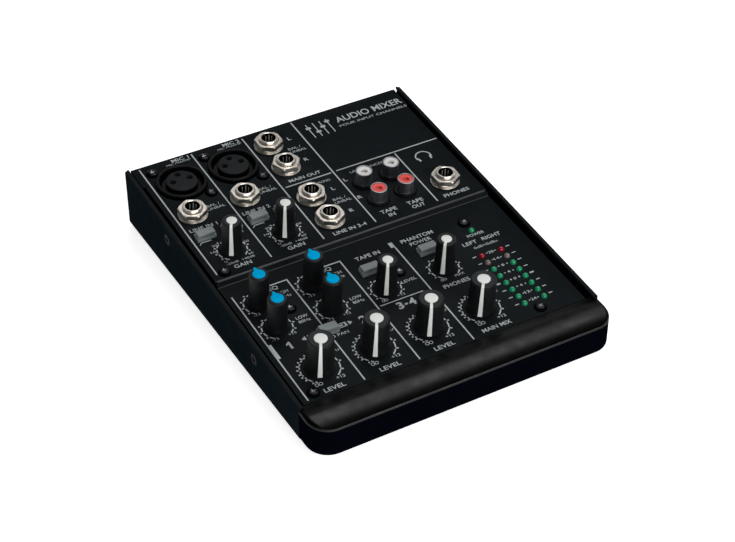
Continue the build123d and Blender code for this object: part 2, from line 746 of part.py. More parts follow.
def make_rca_body():
    """One block behind the deck with four round bosses that come up through it."""
    middle_x = sum(RCA_X) / 2
    middle_setback = sum(RCA_SETBACKS) / 2
    width = RCA_X[1] - RCA_X[0] + 2 * RCA_BLOCK_MARGIN
    depth = RCA_SETBACKS[1] - RCA_SETBACKS[0] + 2 * RCA_BLOCK_MARGIN
    body = on_deck(middle_x, middle_setback) * block(
        width, depth, -JACK_BOARD_DEPTH + SEAT_GAP, -SHEET - SEAT_GAP
    )
    for x, setback in rca_places():
        body += on_deck(x, setback) * cylinder(RCA_BOSS_RADIUS, -3, RCA_BOSS_TOP)
    for x, setback in rca_places():
        body -= on_deck(x, setback) * cylinder(RCA_SHELL_FOOT_RADIUS + SEAT_GAP, -11, 5)
    return body


def make_rca_shell():
    """A barrel that stands on a wider foot inside the boss."""
    inner, outer = RCA_SHELL_RADII
    foot = tube(inner, RCA_SHELL_FOOT_RADIUS, -10.9, RCA_BOSS_TOP)
    return foot + tube(inner, outer, RCA_BOSS_TOP, RCA_SHELL_TOP)


def make_rca_insert():
    insert = cylinder(RCA_SHELL_RADII[0] - SEAT_GAP, -10.9, RCA_INSERT_TOP)
    return insert - cylinder(RCA_HOLE_RADIUS, RCA_INSERT_TOP - RCA_HOLE_DEPTH, 10)


# ---- LEDs ----
def meter_places(rows):
    return [(x, METER_FIRST_SETBACK + METER_PITCH * row) for row in rows for x in METER_X]


def led_places():
    return [POWER_LED, *meter_places(range(METER_ROWS))]


def make_led():
    led = cylinder(LED_RADIUS, -MAIN_BOARD_DEPTH + SEAT_GAP, LED_STRAIGHT)
    dome = Pos(0, 0, LED_STRAIGHT) * Sphere(LED_RADIUS)
    return led + (dome & cylinder(LED_RADIUS, LED_STRAIGHT, LED_STRAIGHT + LED_RADIUS))


# ---- fasteners and feet ----
def cross_recess(top):
    arm = Box(3.0, 0.7, 1.6)
    return Pos(0, 0, top) * (arm + Location((0, 0, 0), (0, 0, 90)) * arm)


def make_panel_screw(turn, length):
    head = revolved(
        [
            (0, SEAT_GAP),
            (SCREW_HEAD_RADIUS, SEAT_GAP),
            (SCREW_HEAD_RADIUS, 0.6),
            (SCREW_HEAD_RADIUS - 0.7, SCREW_HEAD_HEIGHT - 0.2),
            (SCREW_HEAD_RADIUS - 1.6, SCREW_HEAD_HEIGHT),
            (0, SCREW_HEAD_HEIGHT),
        ]
    )
    screw = head + cylinder(SCREW_SHANK_RADIUS, -SHEET - length, SEAT_GAP)
    return Location((0, 0, 0), (0, 0, turn)) * (screw - cross_recess(SCREW_HEAD_HEIGHT))


def make_panel_screws():
    pieces = []
    for index, (x, setback, front) in enumerate(spacer_holes()):
        pieces.append(on_deck(x, setback, front=front) * make_panel_screw(17 * index, SCREW_LENGTH))
    for x, setback in XLR_CENTRES:
        for index, (dx, dy) in enumerate(xlr_screw_offsets()):
            pieces.append(on_deck(x + dx, setback - dy) * make_panel_screw(25 * index, SCREW_LENGTH - 1))
    return pieces


def make_side_screw():
    head = SIDE_SCREW_HEAD_RADIUS
    shank = SIDE_SCREW_SHANK_RADIUS
    top = -0.05
    screw = revolved([(0, top), (head, top), (head, -0.2), (shank, -1.3), (shank, -5), (0, -5)])
    return screw - cross_recess(0.2)


def make_case_screws():
    pieces = []
    for side in (-1, 1):
        for setback, height in zip(SIDE_SCREW_SETBACKS, SIDE_SCREW_HEIGHTS):
            pieces.append(side_screw_place(side, setback, height) * make_side_screw())
    for x in BOTTOM_SCREW_X:
        place = Location((x, REAR_Y - BOTTOM_SCREW_SETBACK, FOOT_HEIGHT), (180, 0, 0))
        pieces.append(place * make_panel_screw(30, SCREW_LENGTH))
    return pieces


def make_rubber_feet():
    foot = revolved(
        [(0, 0), (FOOT_RADIUS - 0.7, 0), (FOOT_RADIUS, FOOT_HEIGHT), (0, FOOT_HEIGHT)]
    )
    return [Pos(x, REAR_Y - setback, 0) * foot for x in (-FOOT_X, FOOT_X) for setback in FOOT_SETBACKS]


# ---- rear panel fittings ----
def rear_place(x, height):
    """Local frame on the rear wall: Z points out to the rear and Y points up."""
    return Location((x, REAR_Y, FOOT_HEIGHT + height), (0, 0, 0)) * Location((0, 0, 0), (-90, 0, 180))


def make_power_switch_housing():
    bezel = block(*SWITCH_BEZEL, SEAT_GAP, 1.2)
    barrel = block(11.0, 18.8, -13, SEAT_GAP)
    housing = bezel + barrel
    housing -= block(*ROCKER_OPENING, -9, 2)
    pivot = Location((0, 0, -ROCKER_PIVOT_INSET), (0, 90, 0)) * cylinder(1.05, -5.2, 5.2)
    return rear_place(POWER_SWITCH_X, POWER_SWITCH_HEIGHT) * (housing - pivot)


def make_power_rocker():
    """Rocker on two short trunnions, resting with its lower half pressed in."""
    width = ROCKER_OPENING[0] - 0.4
    half = ROCKER_OPENING[1] / 2 - 0.5
    pivot = -ROCKER_PIVOT_INSET
    reach = math.radians(ROCKER_TILT)
    peak = REAR_FITTING_PROUD - pivot
    rise = half * math.tan(reach)
    outline = Polyline(
        (0, -half, pivot),
        (0, half, pivot),
        (0, half, pivot + peak - 0.1 - rise),
        (0, 0, pivot + peak - rise),
        (0, -half, pivot + peak - 0.1 - rise),
        close=True,
    )
    rocker = extrude(make_face(outline), width / 2, dir=(1, 0, 0), both=True)
    rocker = rocker + block(width, 5.0, pivot - 3.0, pivot)
    trunnion = Location((0, 0, pivot), (0, 90, 0)) * cylinder(1.0, -5.1, 5.1)
    tilt = Pos(0, 0, pivot) * Location((0, 0, 0), (ROCKER_TILT, 0, 0)) * Pos(0, 0, -pivot)
    return rear_place(POWER_SWITCH_X, POWER_SWITCH_HEIGHT) * tilt * (rocker + trunnion)


def make_power_inlet():
    """Round three-pin low-voltage inlet: a flanged barrel, with its pins standing in the bore."""
    flange = cylinder(INLET_RADIUS, SEAT_GAP, REAR_FITTING_PROUD)
    barrel = cylinder(INLET_RADIUS - 1.3, -12, SEAT_GAP)
    socket = flange + barrel - cylinder(INLET_BORE_RADIUS, -INLET_BORE_DEPTH, 3)
    place = rear_place(POWER_INLET_X, POWER_INLET_HEIGHT)
    for angle in (90, 210, 330):
        pin = cylinder(0.7, -INLET_BORE_DEPTH - 0.5, -INLET_PIN_DEPTH)
        socket += Pos(3.2 * math.cos(math.radians(angle)), 3.2 * math.sin(math.radians(angle)), 0) * pin
    return place * socket


def build_all():
    write("top_panel", [make_top_panel()])
    write("bottom_pan", [make_bottom_pan()])
    write("left_side_panel", [make_side_panel(-1)])
    write("right_side_panel", [make_side_panel(1)])
    write("front_bumper", [make_front_bumper()])
    main_board = make_board(MAIN_BOARD_DEPTH, MAIN_BOARD_SETBACKS, True)
    write("circuit_boards", [main_board, make_jack_board()])
    write("board_components", make_board_components())
    write("board_spacers", make_board_spacers())
    write("pot_bodies", make_pot_bodies())
    write("switch_bodies", make_switch_bodies())

    write("jack_bodies", [on_deck(*place) * make_jack_body() for place in JACKS])
    write("jack_bushings", [on_deck(*place) * make_jack_bushing() for place in JACKS])
    write("jack_washers", [on_deck(*place) * make_jack_washer() for place in JACKS])
    write("jack_nuts", [on_deck(*place) * make_jack_nut(turn) for place, turn in zip(JACKS, JACK_NUT_TURNS)])

    write("xlr_shells", [on_deck(*place) * make_xlr_shell() for place in XLR_CENTRES])
    write("xlr_inserts", [on_deck(*place) * make_xlr_insert() for place in XLR_CENTRES])
    contact = tube(*XLR_CONTACT_RADII, -XLR_CONTACT_DEPTH, -0.4)
    write(
        "xlr_contacts",
        [on_deck(*place) * Pos(px, py, 0) * contact for place in XLR_CENTRES for px, py in xlr_pin_places()],
    )

    places = rca_places()
    write("rca_body", [make_rca_body()])
    write("rca_shells", [on_deck(*place) * make_rca_shell() for place in places])
    write("rca_white_inserts", [on_deck(*place) * make_rca_insert() for place in places[:2]])
    write("rca_red_inserts", [on_deck(*place) * make_rca_insert() for place in places[2:]])

    led = make_led()
    write("red_leds", [on_deck(*place) * led for place in meter_places([0])])
    write("amber_leds", [on_deck(*place) * led for place in meter_places([1])])
    write("green_leds", [on_deck(*place) * led for place in [POWER_LED] + meter_places(range(2, METER_ROWS))])

    write("screws", make_panel_screws() + make_case_screws())
    write("rubber_feet", make_rubber_feet())
    write("power_switch_housing", [make_power_switch_housing()])
    write("power_rocker", [make_power_rocker()])
    write("power_inlet", [make_power_inlet()])

    button = make_button()
    for name, x, setback in BUTTONS:
        write(name, [on_deck(x, setback) * button])
    knobs = {kind: make_knob(kind) for kind in KNOB_RADII}
    shaft = make_shaft()
    for name, x, setback, kind in KNOBS:
        place = on_deck(x, setback, turn=0.0 if kind == BLUE else MINIMUM_ANGLE)
        write(f"{name}_knob", [place * solid for solid in knobs[kind]])
        write(f"{name}_shaft", [place * shaft])


build_all()
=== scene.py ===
"""Looks of the compact four-channel mixing console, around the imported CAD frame."""

import json
import math

import bmesh
import bpy
from mathutils import Matrix, Vector


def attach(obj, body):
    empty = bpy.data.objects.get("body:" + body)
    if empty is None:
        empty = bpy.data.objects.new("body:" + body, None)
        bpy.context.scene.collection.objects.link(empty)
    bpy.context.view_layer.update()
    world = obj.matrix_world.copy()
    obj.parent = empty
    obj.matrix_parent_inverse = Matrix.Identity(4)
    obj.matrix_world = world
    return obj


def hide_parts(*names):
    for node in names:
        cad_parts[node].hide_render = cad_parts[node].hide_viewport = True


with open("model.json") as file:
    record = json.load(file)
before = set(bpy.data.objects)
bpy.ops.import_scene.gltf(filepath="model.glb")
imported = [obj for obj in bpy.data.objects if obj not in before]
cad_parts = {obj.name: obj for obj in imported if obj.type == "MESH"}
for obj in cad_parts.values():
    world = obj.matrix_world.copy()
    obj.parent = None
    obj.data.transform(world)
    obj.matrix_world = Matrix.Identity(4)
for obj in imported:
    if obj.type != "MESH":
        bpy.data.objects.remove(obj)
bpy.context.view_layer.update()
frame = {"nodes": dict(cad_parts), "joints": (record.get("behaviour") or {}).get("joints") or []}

MM = 0.001

# ---- sizes of the case, in millimetres, as in the CAD model ----
REAR_Y = 98.7
HALF_WIDTH = 78.5
FOOT = 2.0
DECK_REAR = 29.9
DECK_SLOPE = 0.068
DECK_TILT = Matrix.Rotation(math.atan(DECK_SLOPE), 4, "X")
STEP_DROP = 2.1
RAMP_START, RAMP_END = 92.9, 94.6
CHANNELS = [-57.0 + 28.2 * i for i in range(4)]


def shift(x, y, z):
    return Matrix.Translation((x, y, z))


def spin(degrees, axis="Z"):
    return Matrix.Rotation(math.radians(degrees), 4, axis)


def deck_z(setback):
    """Height of the deck's top face, in millimetres."""
    return FOOT + DECK_REAR - (STEP_DROP if setback >= RAMP_END else 0.0) - DECK_SLOPE * setback


def on_deck(x, setback, height=0.0, turn=0.0):
    """Frame on the deck: Z is its normal and Y points to the rear. Millimetres and degrees."""
    return shift(x, REAR_Y - setback, deck_z(setback)) @ DECK_TILT @ shift(0, 0, height) @ spin(turn)


def polar(radius, degrees, centre=(0.0, 0.0)):
    a = math.radians(degrees)
    return (centre[0] + radius * math.cos(a), centre[1] + radius * math.sin(a))


def circle(radius, steps=48, centre=(0.0, 0.0)):
    return [polar(radius, 360.0 * k / steps, centre) for k in range(steps)]


def share_between(value, start, end):
    """How far a value is from start to end, held between 0 and 1."""
    return min(1.0, max(0.0, (value - start) / (end - start)))


# ---- materials ----
WORN_RANGE = (0.52, 0.62)
# range of upward facing over which the painted top sheen comes in
PAINTED_SHEEN_RANGE = (0.72, 0.96)


def linear(colour):
    """sRGB 0..255 to linear."""
    def convert(c):
        c /= 255.0
        return c / 12.92 if c <= 0.04045 else ((c + 0.055) / 1.055) ** 2.4
    return tuple(convert(c) for c in colour) + (1.0,)


def surface(
    name, colour, rough=0.5, metal=0.0, spec=0.5, grain=0.5, depth=0.002, blotch=6.0, vary=0.12,
    rough_vary=0.08, stretch=(1, 1, 1), edge=0.0, glow=0.0, subsurface=0.0, painted_top_sheen=False,
):
    """Principled material with a fine grain in its bump, and blotches in its colour and roughness.

    grain, depth and blotch are in millimetres. edge pales the sharp edges, as wear does. The sheen
    switch keeps the specular on faces that point up and takes it off upright ones, by their facing:
    a painted sheen on tops and painted shade on upright faces."""
    colour = linear(colour)
    mat = bpy.data.materials.new(name)
    mat.use_nodes = True
    nodes, links = mat.node_tree.nodes, mat.node_tree.links
    shader = nodes["Principled BSDF"]

    def node(kind, **values):
        made = nodes.new("ShaderNode" + kind)
        for socket, value in values.items():
            made.inputs[socket.replace("_", " ")].default_value = value
        return made

    def noise(size, detail):
        made = node("TexNoise", Scale=1.0 / (size * MM), Detail=detail, Roughness=0.55)
        links.new(mapping.outputs["Vector"], made.inputs["Vector"])
        return made.outputs["Fac"]

    def mapped(source, low, high, start=0.3, end=0.7):
        made = node("MapRange", From_Min=start, From_Max=end, To_Min=low, To_Max=high)
        links.new(source, made.inputs["Value"])
        return made.outputs["Result"]

    mapping = node("Mapping", Scale=stretch)
    links.new(node("TexCoord").outputs["Object"], mapping.inputs["Vector"])
    fine, broad = noise(grain, 3.0), noise(blotch, 5.0)
    shade = node("Math")
    shade.operation = "MULTIPLY"
    links.new(mapped(broad, 1 - vary, 1 + vary), shade.inputs[0])
    links.new(mapped(fine, 1 - vary, 1 + vary), shade.inputs[1])
    scale = node("MixRGB", Fac=1.0, Color1=colour)
    scale.blend_type = "MULTIPLY"
    links.new(shade.outputs[0], scale.inputs["Color2"])
    out_colour = scale.outputs["Color"]
    if edge:
        worn = node("MixRGB", Color2=tuple(min(1.0, c * 3 + 0.02) for c in colour[:3]) + (1,))
        pointiness = node("NewGeometry").outputs["Pointiness"]
        links.new(mapped(pointiness, 0.0, edge, *WORN_RANGE), worn.inputs["Fac"])
        links.new(out_colour, worn.inputs["Color1"])
        out_colour = worn.outputs["Color"]
    links.new(out_colour, shader.inputs["Base Color"])
    links.new(mapped(broad, rough - rough_vary, rough + rough_vary), shader.inputs["Roughness"])
    bump = node("Bump", Distance=depth * MM, Strength=1.0)
    links.new(fine, bump.inputs["Height"])
    links.new(bump.outputs["Normal"], shader.inputs["Normal"])
    for socket, value in {
        "Metallic": metal,
        "Specular IOR Level": spec,
        "Subsurface Weight": subsurface,
        "Subsurface Radius": (2 * MM, 2 * MM, 2 * MM),
        "Emission Strength": glow,
    }.items():
        shader.inputs[socket].default_value = value
    if glow:
        shader.inputs["Emission Color"].default_value = colour
    # painted sheen and shade: the specular follows how far a face points up, full on tops, none on upright
    # faces
    if painted_top_sheen:
        upward = node("SeparateXYZ")
        links.new(node("NewGeometry").outputs["Normal"], upward.inputs[0])
        links.new(mapped(upward.outputs["Z"], 0.0, spec, *PAINTED_SHEEN_RANGE), shader.inputs["Specular IOR Level"])
    return mat


POWDER = surface(
    "black_powder_coat", (16, 20, 22), 0.4, spec=0.02, grain=0.35, depth=0.01, edge=0.1, vary=0.08
)
# glossier copy of the deck coat for the bends of the step: painted sheen on the folds
FOLD_PAINTED_SHEEN = surface("powder_coat_fold_painted_sheen", (16, 20, 22), 0.42, spec=0.35, grain=0.35, depth=0.01, vary=0.08)
# lighter copy of the side panels' coat for their upward faces and flanges: painted light on the tops
RIM_PAINTED_LIGHT = surface("powder_coat_rim_painted_light", (24, 27, 29), 0.5, spec=0.02, grain=0.35, depth=0.01)
SIDE_POWDER = surface("side_powder_coat", (12, 19, 22), 0.6, spec=0.0, grain=0.4, depth=0.02, edge=0.1)
# the moulding's plastic for the roll: its sheen is kept to upward faces, a painted sheen on top and painted
# shade on the steep front
ROLL = surface("bumper_roll", (2, 2, 3), 0.38, spec=0.18, grain=0.28, depth=0.006, vary=0.1, painted_top_sheen=True)
# paler, glossier copy of the same plastic for the ledge edge: a painted highlight line
LEDGE_PAINTED_HIGHLIGHT = surface("bumper_ledge_painted_highlight", (5, 6, 7), 0.4, spec=0.3, grain=0.3, depth=0.006, vary=0.1)
# matt copy of the same plastic with no reflection, for the front wall: painted shade
WALL_PAINTED_SHADE = surface("bumper_wall_painted_shade", (3, 4, 9), 0.5, spec=0.0, grain=0.3, depth=0.012, vary=0.1)
PRINT = surface("screen_print", (166, 172, 173), 0.6, spec=0.1, grain=0.4, vary=0.05)
KNOB = surface("knob_rubber", (5, 6, 8), 0.5, spec=0.24, grain=0.25, depth=0.008)
# lighter copy of the knob rubber for the top dish: painted light from above
KNOB_TOP_PAINTED_LIGHT = surface("knob_top_painted_light", (38, 42, 43), 0.5, spec=0.1, grain=0.25, depth=0.006)
KNOB_WHITE = surface("pointer_white", (212, 215, 211), 0.45, spec=0.3, grain=0.3, vary=0.02)
BLUE = surface("cap_blue", (0, 150, 200), 0.5, spec=0.0, grain=0.3, vary=0.03)
# specular kept to the button's upward faces: painted sheen on the top, painted shade on the upright front
GREY = surface(
    "button_grey", (120, 127, 127), 0.5, spec=0.55, grain=0.3, depth=0.004, vary=0.04, painted_top_sheen=True
)
NICKEL = surface(
    "satin_nickel", (214, 208, 199), 0.3, metal=1.0, depth=0.0008, vary=0.04, blotch=3.0,
    rough_vary=0.03,
)
CONTACT = surface("contact_spring", (170, 164, 153), 0.4, metal=0.35, grain=0.8, depth=0.001)
GOLD = surface("gold_contact", (110, 90, 55), 0.35, metal=1.0, depth=0.001)
DARK_CHROME = surface("black_nickel", (150, 152, 156), 0.4, metal=1.0, grain=0.6, depth=0.001)
SOCKET = surface("socket_plastic", (8, 9, 10), 0.45, spec=0.1, grain=0.25, depth=0.006)
SOCKET_INSERT = surface("insert_plastic", (23, 26, 28), 0.5, spec=0.08, grain=0.25, depth=0.005)
# near-black plastic of socket bodies and liners, also laid where there is only shade: painted shade in
# grooves, wells and on walls turned from the light
BLACK_AND_PAINTED_SHADE = surface("near_black_and_painted_shade", (3, 3, 4), 0.7, spec=0.0)
WHITE_PLASTIC = surface("white_insulator", (205, 204, 201), 0.35, grain=0.4, vary=0.02)
RED_PLASTIC = surface("red_insulator", (210, 70, 64), 0.35, grain=0.4, vary=0.03)
# the unlit lenses are given a faint emission: painted glow
GREEN_LED = surface("lens_green", (12, 128, 84), 0.2, depth=0.001, glow=0.06, subsurface=0.2)
RED_LED = surface("lens_red", (128, 4, 24), 0.2, depth=0.001, glow=0.05, subsurface=0.2)
AMBER_LED = surface("lens_amber", (112, 100, 98), 0.22, depth=0.001, subsurface=0.2)
# specular kept to upward faces: painted sheen on the heads' tops, painted shade on their flanks
SCREW = surface("black_zinc", (4, 4, 5), 0.3, spec=0.12, grain=0.4, painted_top_sheen=True)
# lighter matt copy of the black zinc for the side heads: painted light
SIDE_SCREW_PAINTED_LIGHT = surface("black_zinc_side_painted_light", (30, 32, 36), 0.5, spec=0.01, grain=0.4, depth=0.003)
# pale metal in the cross recess: driver wear and a painted glint at the middle of the head
RECESS_WEAR_AND_GLINT = surface("recess_wear_and_painted_glint", (120, 122, 124), 0.4, metal=0.9, grain=0.3, depth=0.004)
STEEL = surface("zinc_steel", (165, 168, 170), 0.35, metal=1.0)
SHAFT = surface("turned_aluminium", (190, 192, 195), 0.3, metal=1.0, grain=0.4, stretch=(1, 1, 4))
BOARD = surface("circuit_board", (30, 82, 48), 0.4, grain=0.8, depth=0.004, vary=0.15)
CHIP = surface("component_black", (20, 20, 22), 0.55, spec=0.3, grain=0.3, depth=0.006)
RUBBER = surface("foot_rubber", (18, 18, 18), 0.8, spec=0.1, grain=0.4, depth=0.02)
SWITCH = surface("switch_gloss", (16, 16, 17), 0.25, spec=0.4)
FLOOR = surface(
    "pale_floor", (215, 215, 215), 0.9, spec=0.0, grain=2.0, depth=0.0, vary=0.0, rough_vary=0.0,
    glow=1.1,
)


# ---- mesh building ----
def new_object(name, data):
    obj = bpy.data.objects.new(name, data)
    bpy.context.scene.collection.objects.link(obj)
    return obj


class Mesh:
    """Collects vertices in millimetres and faces, each with a material slot."""

    def __init__(self):
        self.verts = []
        self.faces = []
        self.slots = []

    def add(self, verts, faces, place=None, slot=0):
        base = len(self.verts)
        place = place or Matrix.Identity(4)
        self.verts += [place @ Vector(v) for v in verts]
        self.faces += [[base + i for i in f] for f in faces]
        self.slots += [slot] * len(faces)

    def move(self, place):
        self.verts = [place @ v for v in self.verts]

    def rings(self, rings, place=None, slot=0, closed=True, caps=()):
        """Joins rows of equally many points by quads. caps lists the rows that get a flat face."""
        count = len(rings[0])
        faces = []
        for row in range(len(rings) - 1):
            for k in range(count if closed else count - 1):
                a, b = row * count + k, row * count + (k + 1) % count
                faces.append((a, b, b + count, a + count))
        faces += [range(row % len(rings) * count, (row % len(rings) + 1) * count) for row in caps]
        self.add([v for ring in rings for v in ring], faces, place, slot)

    def lathe(self, profile, place=None, slot=0, steps=64):
        """Revolves (radius, height) points about Z."""
        verts, rows = [], []
        for radius, height in profile:
            if radius < 1e-6:
                rows.append([len(verts)] * steps)
                verts.append((0, 0, height))
                continue
            rows.append(range(len(verts), len(verts) + steps))
            verts += [(x, y, height) for x, y in circle(radius, steps)]
        faces = []
        for r0, r1 in zip(rows, rows[1:]):
            for k in range(steps):
                n = (k + 1) % steps
                face = list(dict.fromkeys((r0[k], r0[n], r1[n], r1[k])))
                if len(face) > 2:
                    faces.append(face)
        self.add(verts, faces, place, slot)

    def box(self, width, depth, low, high, radius, bevel, taper=0.0, segments=3, place=None, slot=0):
        """Box with rounded upright edges and a bevelled top, centred on Z."""
        outline = []
        for cx, cy, start in ((1, 1, 0), (-1, 1, 90), (-1, -1, 180), (1, -1, 270)):
            centre = (cx * (width / 2 - radius), cy * (depth / 2 - radius))
            outline += [polar(radius, start + 90 * k / segments, centre) for k in range(segments + 1)]
        levels = [(0.0, low), (taper * 0.5, (low + high - bevel) / 2), (taper, high - bevel)]
        for k in range(1, segments + 1):
            along, up = polar(bevel, 90 * k / segments)
            levels.append((taper + bevel - along, high - bevel + up))
        rings = []
        for shrink, z in levels:
            fx, fy = (width - 2 * shrink) / width, (depth - 2 * shrink) / depth
            rings.append([(x * fx, y * fy, z) for x, y in outline])
        self.rings(rings, place, slot, caps=(0, -1))

    def fill(self, outlines, z, place, slot=0):
        """Flat face at height z: the first closed outline is its rim and the others are holes."""
        bm = bmesh.new()
        edges = []
        for outline in outlines:
            ring = [bm.verts.new((x, y, z)) for x, y in outline]
            edges += [bm.edges.new(pair) for pair in zip(ring, ring[1:] + ring[:1])]
        bmesh.ops.triangle_fill(bm, use_beauty=True, use_dissolve=False, edges=edges, normal=(0, 0, 1))
        bm.verts.index_update()
        faces = [[v.index for v in f.verts] for f in bm.faces]
        self.add([v.co.copy() for v in bm.verts], faces, place, slot)
        bm.free()

    def finish(self, name, materials, slot, replaces=(), body="casing", sharp=35.0):
        """Makes the object, in metres, rides it on its body and hides the CAD nodes it stands for."""
        data = bpy.data.meshes.new(name)
        data.from_pydata([v * MM for v in self.verts], [], self.faces)
        for m in materials:
            data.materials.append(m)
        data.polygons.foreach_set("material_index", self.slots)
        bm = bmesh.new()
        bm.from_mesh(data)
        bmesh.ops.remove_doubles(bm, verts=bm.verts, dist=1e-7)
        bmesh.ops.recalc_face_normals(bm, faces=bm.faces)
        bm.to_mesh(data)
        bm.free()
        data.polygons.foreach_set("use_smooth", [True] * len(data.polygons))
        data.set_sharp_from_angle(angle=math.radians(sharp))
        data.update()
        obj = new_object(name, data)
        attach(obj, body)
        if replaces:
            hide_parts(*replaces)


def rounded(points, radii, steps=4):
    """A (radius, height) outline with its corners rounded by arcs of the given radii."""
    out = []
    count = len(points)
    for i, (p, r) in enumerate(zip(points, radii)):
        p = Vector(p)
        if r <= 0 or i in (0, count - 1):
            out.append((p.x, p.y))
            continue
        a = (Vector(points[i - 1]) - p).normalized()
        b = (Vector(points[i + 1]) - p).normalized()
        half = a.angle(b) / 2
        reach = r / math.tan(half)
        centre = p + (a + b).normalized() * (r / math.sin(half))
        start = p + a * reach - centre
        sweep = math.pi - 2 * half
        side = 1.0 if a.x * b.y - a.y * b.x < 0 else -1.0
        for k in range(steps + 1):
            turn = side * sweep * k / steps
            c, s = math.cos(turn), math.sin(turn)
            out.append((centre.x + start.x * c - start.y * s, centre.y + start.x * s + start.y * c))
    return out


def use_material(node, material):
    """Gives a carried-over CAD node its material."""
    obj = frame["nodes"][node]
    obj.data.materials.clear()
    obj.data.materials.append(material)


JOINT_PLACE = {j["name"]: Vector(j["pos_m"]) / MM for j in frame["joints"] if "pos_m" in j}


# ---- knobs ----
SMALL, LARGE, EQ = "small", "large", "eq"
KNOBS = {
    "gain_1": SMALL, "gain_2": SMALL, "high_eq_1": EQ, "high_eq_2": EQ, "low_eq_1": EQ, "low_eq_2": EQ,
    "tape_level": SMALL, "phones_level": SMALL, "level_1": LARGE, "level_2": LARGE, "level_3_4": LARGE,
    "main_mix": LARGE,
}
KNOB_RADII = {SMALL: (5.6, 4.6), LARGE: (7.1, 6.0), EQ: (5.5, 4.55)}
DOT_RADIUS = {SMALL: 2.5, LARGE: 3.05}
KNOB_FLOAT = 0.7
KNOB_TOP = 18.25
KNOB_SHOULDER = KNOB_TOP - 1.0
ROUND_OUT, ROUND_UP = 0.75, 0.95
POINTER_LIFT = 0.16
REST_TURN = 150.0
FITTED_TURN = {"phones_level": -11.0, "main_mix": -7.0, "level_1": 2.0}


def knob_radius(kind, height):
    """Radius of the knob's side: a flare at the foot, then a slight taper."""
    base, top = KNOB_RADII[kind]
    foot = base - 0.5
    flare = 0.5 * math.exp(-((height - KNOB_FLOAT) / 1.6) ** 2)
    return foot + (top - foot) * share_between(height, KNOB_FLOAT, KNOB_TOP) + flare


def knob_body(mesh, kind):
    foot = KNOB_RADII[kind][0]
    profile = [(3.3, KNOB_FLOAT + 1.4), (foot - 1.2, KNOB_FLOAT + 1.2)]
    profile += [(foot - 1.0, KNOB_FLOAT), (foot - 0.2, KNOB_FLOAT)]
    for height in (KNOB_FLOAT + 0.25, 1.4, 2.2, 3.2, 4.6, 7.0, 10.0, 13.0, 16.0, KNOB_SHOULDER):
        profile.append((knob_radius(kind, height), height))
    edge = profile[-1][0]
    for angle in (18, 36, 54, 72, 90):
        c, s = polar(1.0, angle)
        profile.append((edge - ROUND_OUT * (1 - c), KNOB_SHOULDER + ROUND_UP * s))
    mesh.lathe(profile, steps=72)
    rim, top = profile[-1]
    dish = [(rim, top), (rim - 0.35, KNOB_TOP - 0.1), (rim - 0.6, KNOB_TOP - 0.35), (0, KNOB_TOP - 0.45)]
    # the top dish takes the lighter rubber: painted light on the knob's top
    mesh.lathe(dish, slot=2, steps=72)


def pointer_line(mesh, kind):
    """Raised white line, widening down the side, and joined to the dot across the top."""
    edge = knob_radius(kind, KNOB_SHOULDER)
    path = [(DOT_RADIUS[kind] - 0.6, KNOB_TOP - 0.02), (edge - 0.9, KNOB_TOP - 0.02)]
    for angle in (22.5, 45, 67.5, 90):
        c, s = polar(1.0, angle)
        out = edge - ROUND_OUT + (ROUND_OUT + POINTER_LIFT) * s
        path.append((out, KNOB_SHOULDER + (ROUND_UP + POINTER_LIFT * 0.4) * c))
    for height in (15.0, 12.0, 9.0, 6.5, 4.6, 3.4, 2.6, 1.9, 1.4, 1.0):
        path.append((knob_radius(kind, height) + POINTER_LIFT, height))
    rings = []
    for radius, height in path:
        half = 0.64 + 0.42 * share_between(height, KNOB_TOP, 1.0)
        ring = []
        for x in (-half, -half * 0.5, half * 0.5, half):
            ring.append((x, math.sqrt(max(0.01, radius * radius - x * x)), height))
        ring += [(x, y - 0.7, z - 0.2) for x, y, z in reversed(ring)]
        rings.append(ring)
    mesh.rings(rings, slot=1)
    for ring in (rings[0], rings[-1]):
        mesh.add(ring, [(c, 7 - c, 6 - c, c + 1) for c in range(3)], slot=1)


def disc_cap(mesh, outline, bevel):
    """Cap with a bevelled rim on a knob's top, from a closed (x, y) outline about the origin."""
    low, high = KNOB_TOP - 0.9, KNOB_TOP + 0.05
    levels = [(1.0, low), (1.0, high - bevel)]
    reach = max(math.hypot(x, y) for x, y in outline)
    for angle in (30, 60, 90):
        along, up = polar(bevel, angle)
        levels.append((1.0 - (bevel - along) / reach, high - bevel + up))
    mesh.rings([[(x * scale, y * scale, z) for x, y in outline] for scale, z in levels], slot=1, caps=(-1,))


def teardrop(radius, tip, tip_radius, steps=40):
    """Round outline drawn out to a small rounded tip along +Y, with hollow flanks."""
    lean = 27
    points = [polar(radius, 90 + lean + (360 - 2 * lean) * k / steps) for k in range(steps + 1)]
    join = points[-1]
    flank = []
    for k in range(1, 6):
        t = k / 6
        x = join[0] + (tip_radius - join[0]) * (1 - (1 - t) ** 2.5)
        flank.append((x, join[1] + (tip - join[1]) * t))
    cap = [polar(tip_radius, 30 * k, (0.0, tip)) for k in range(7)]
    return points + flank + cap + [(-x, y) for x, y in reversed(flank)]


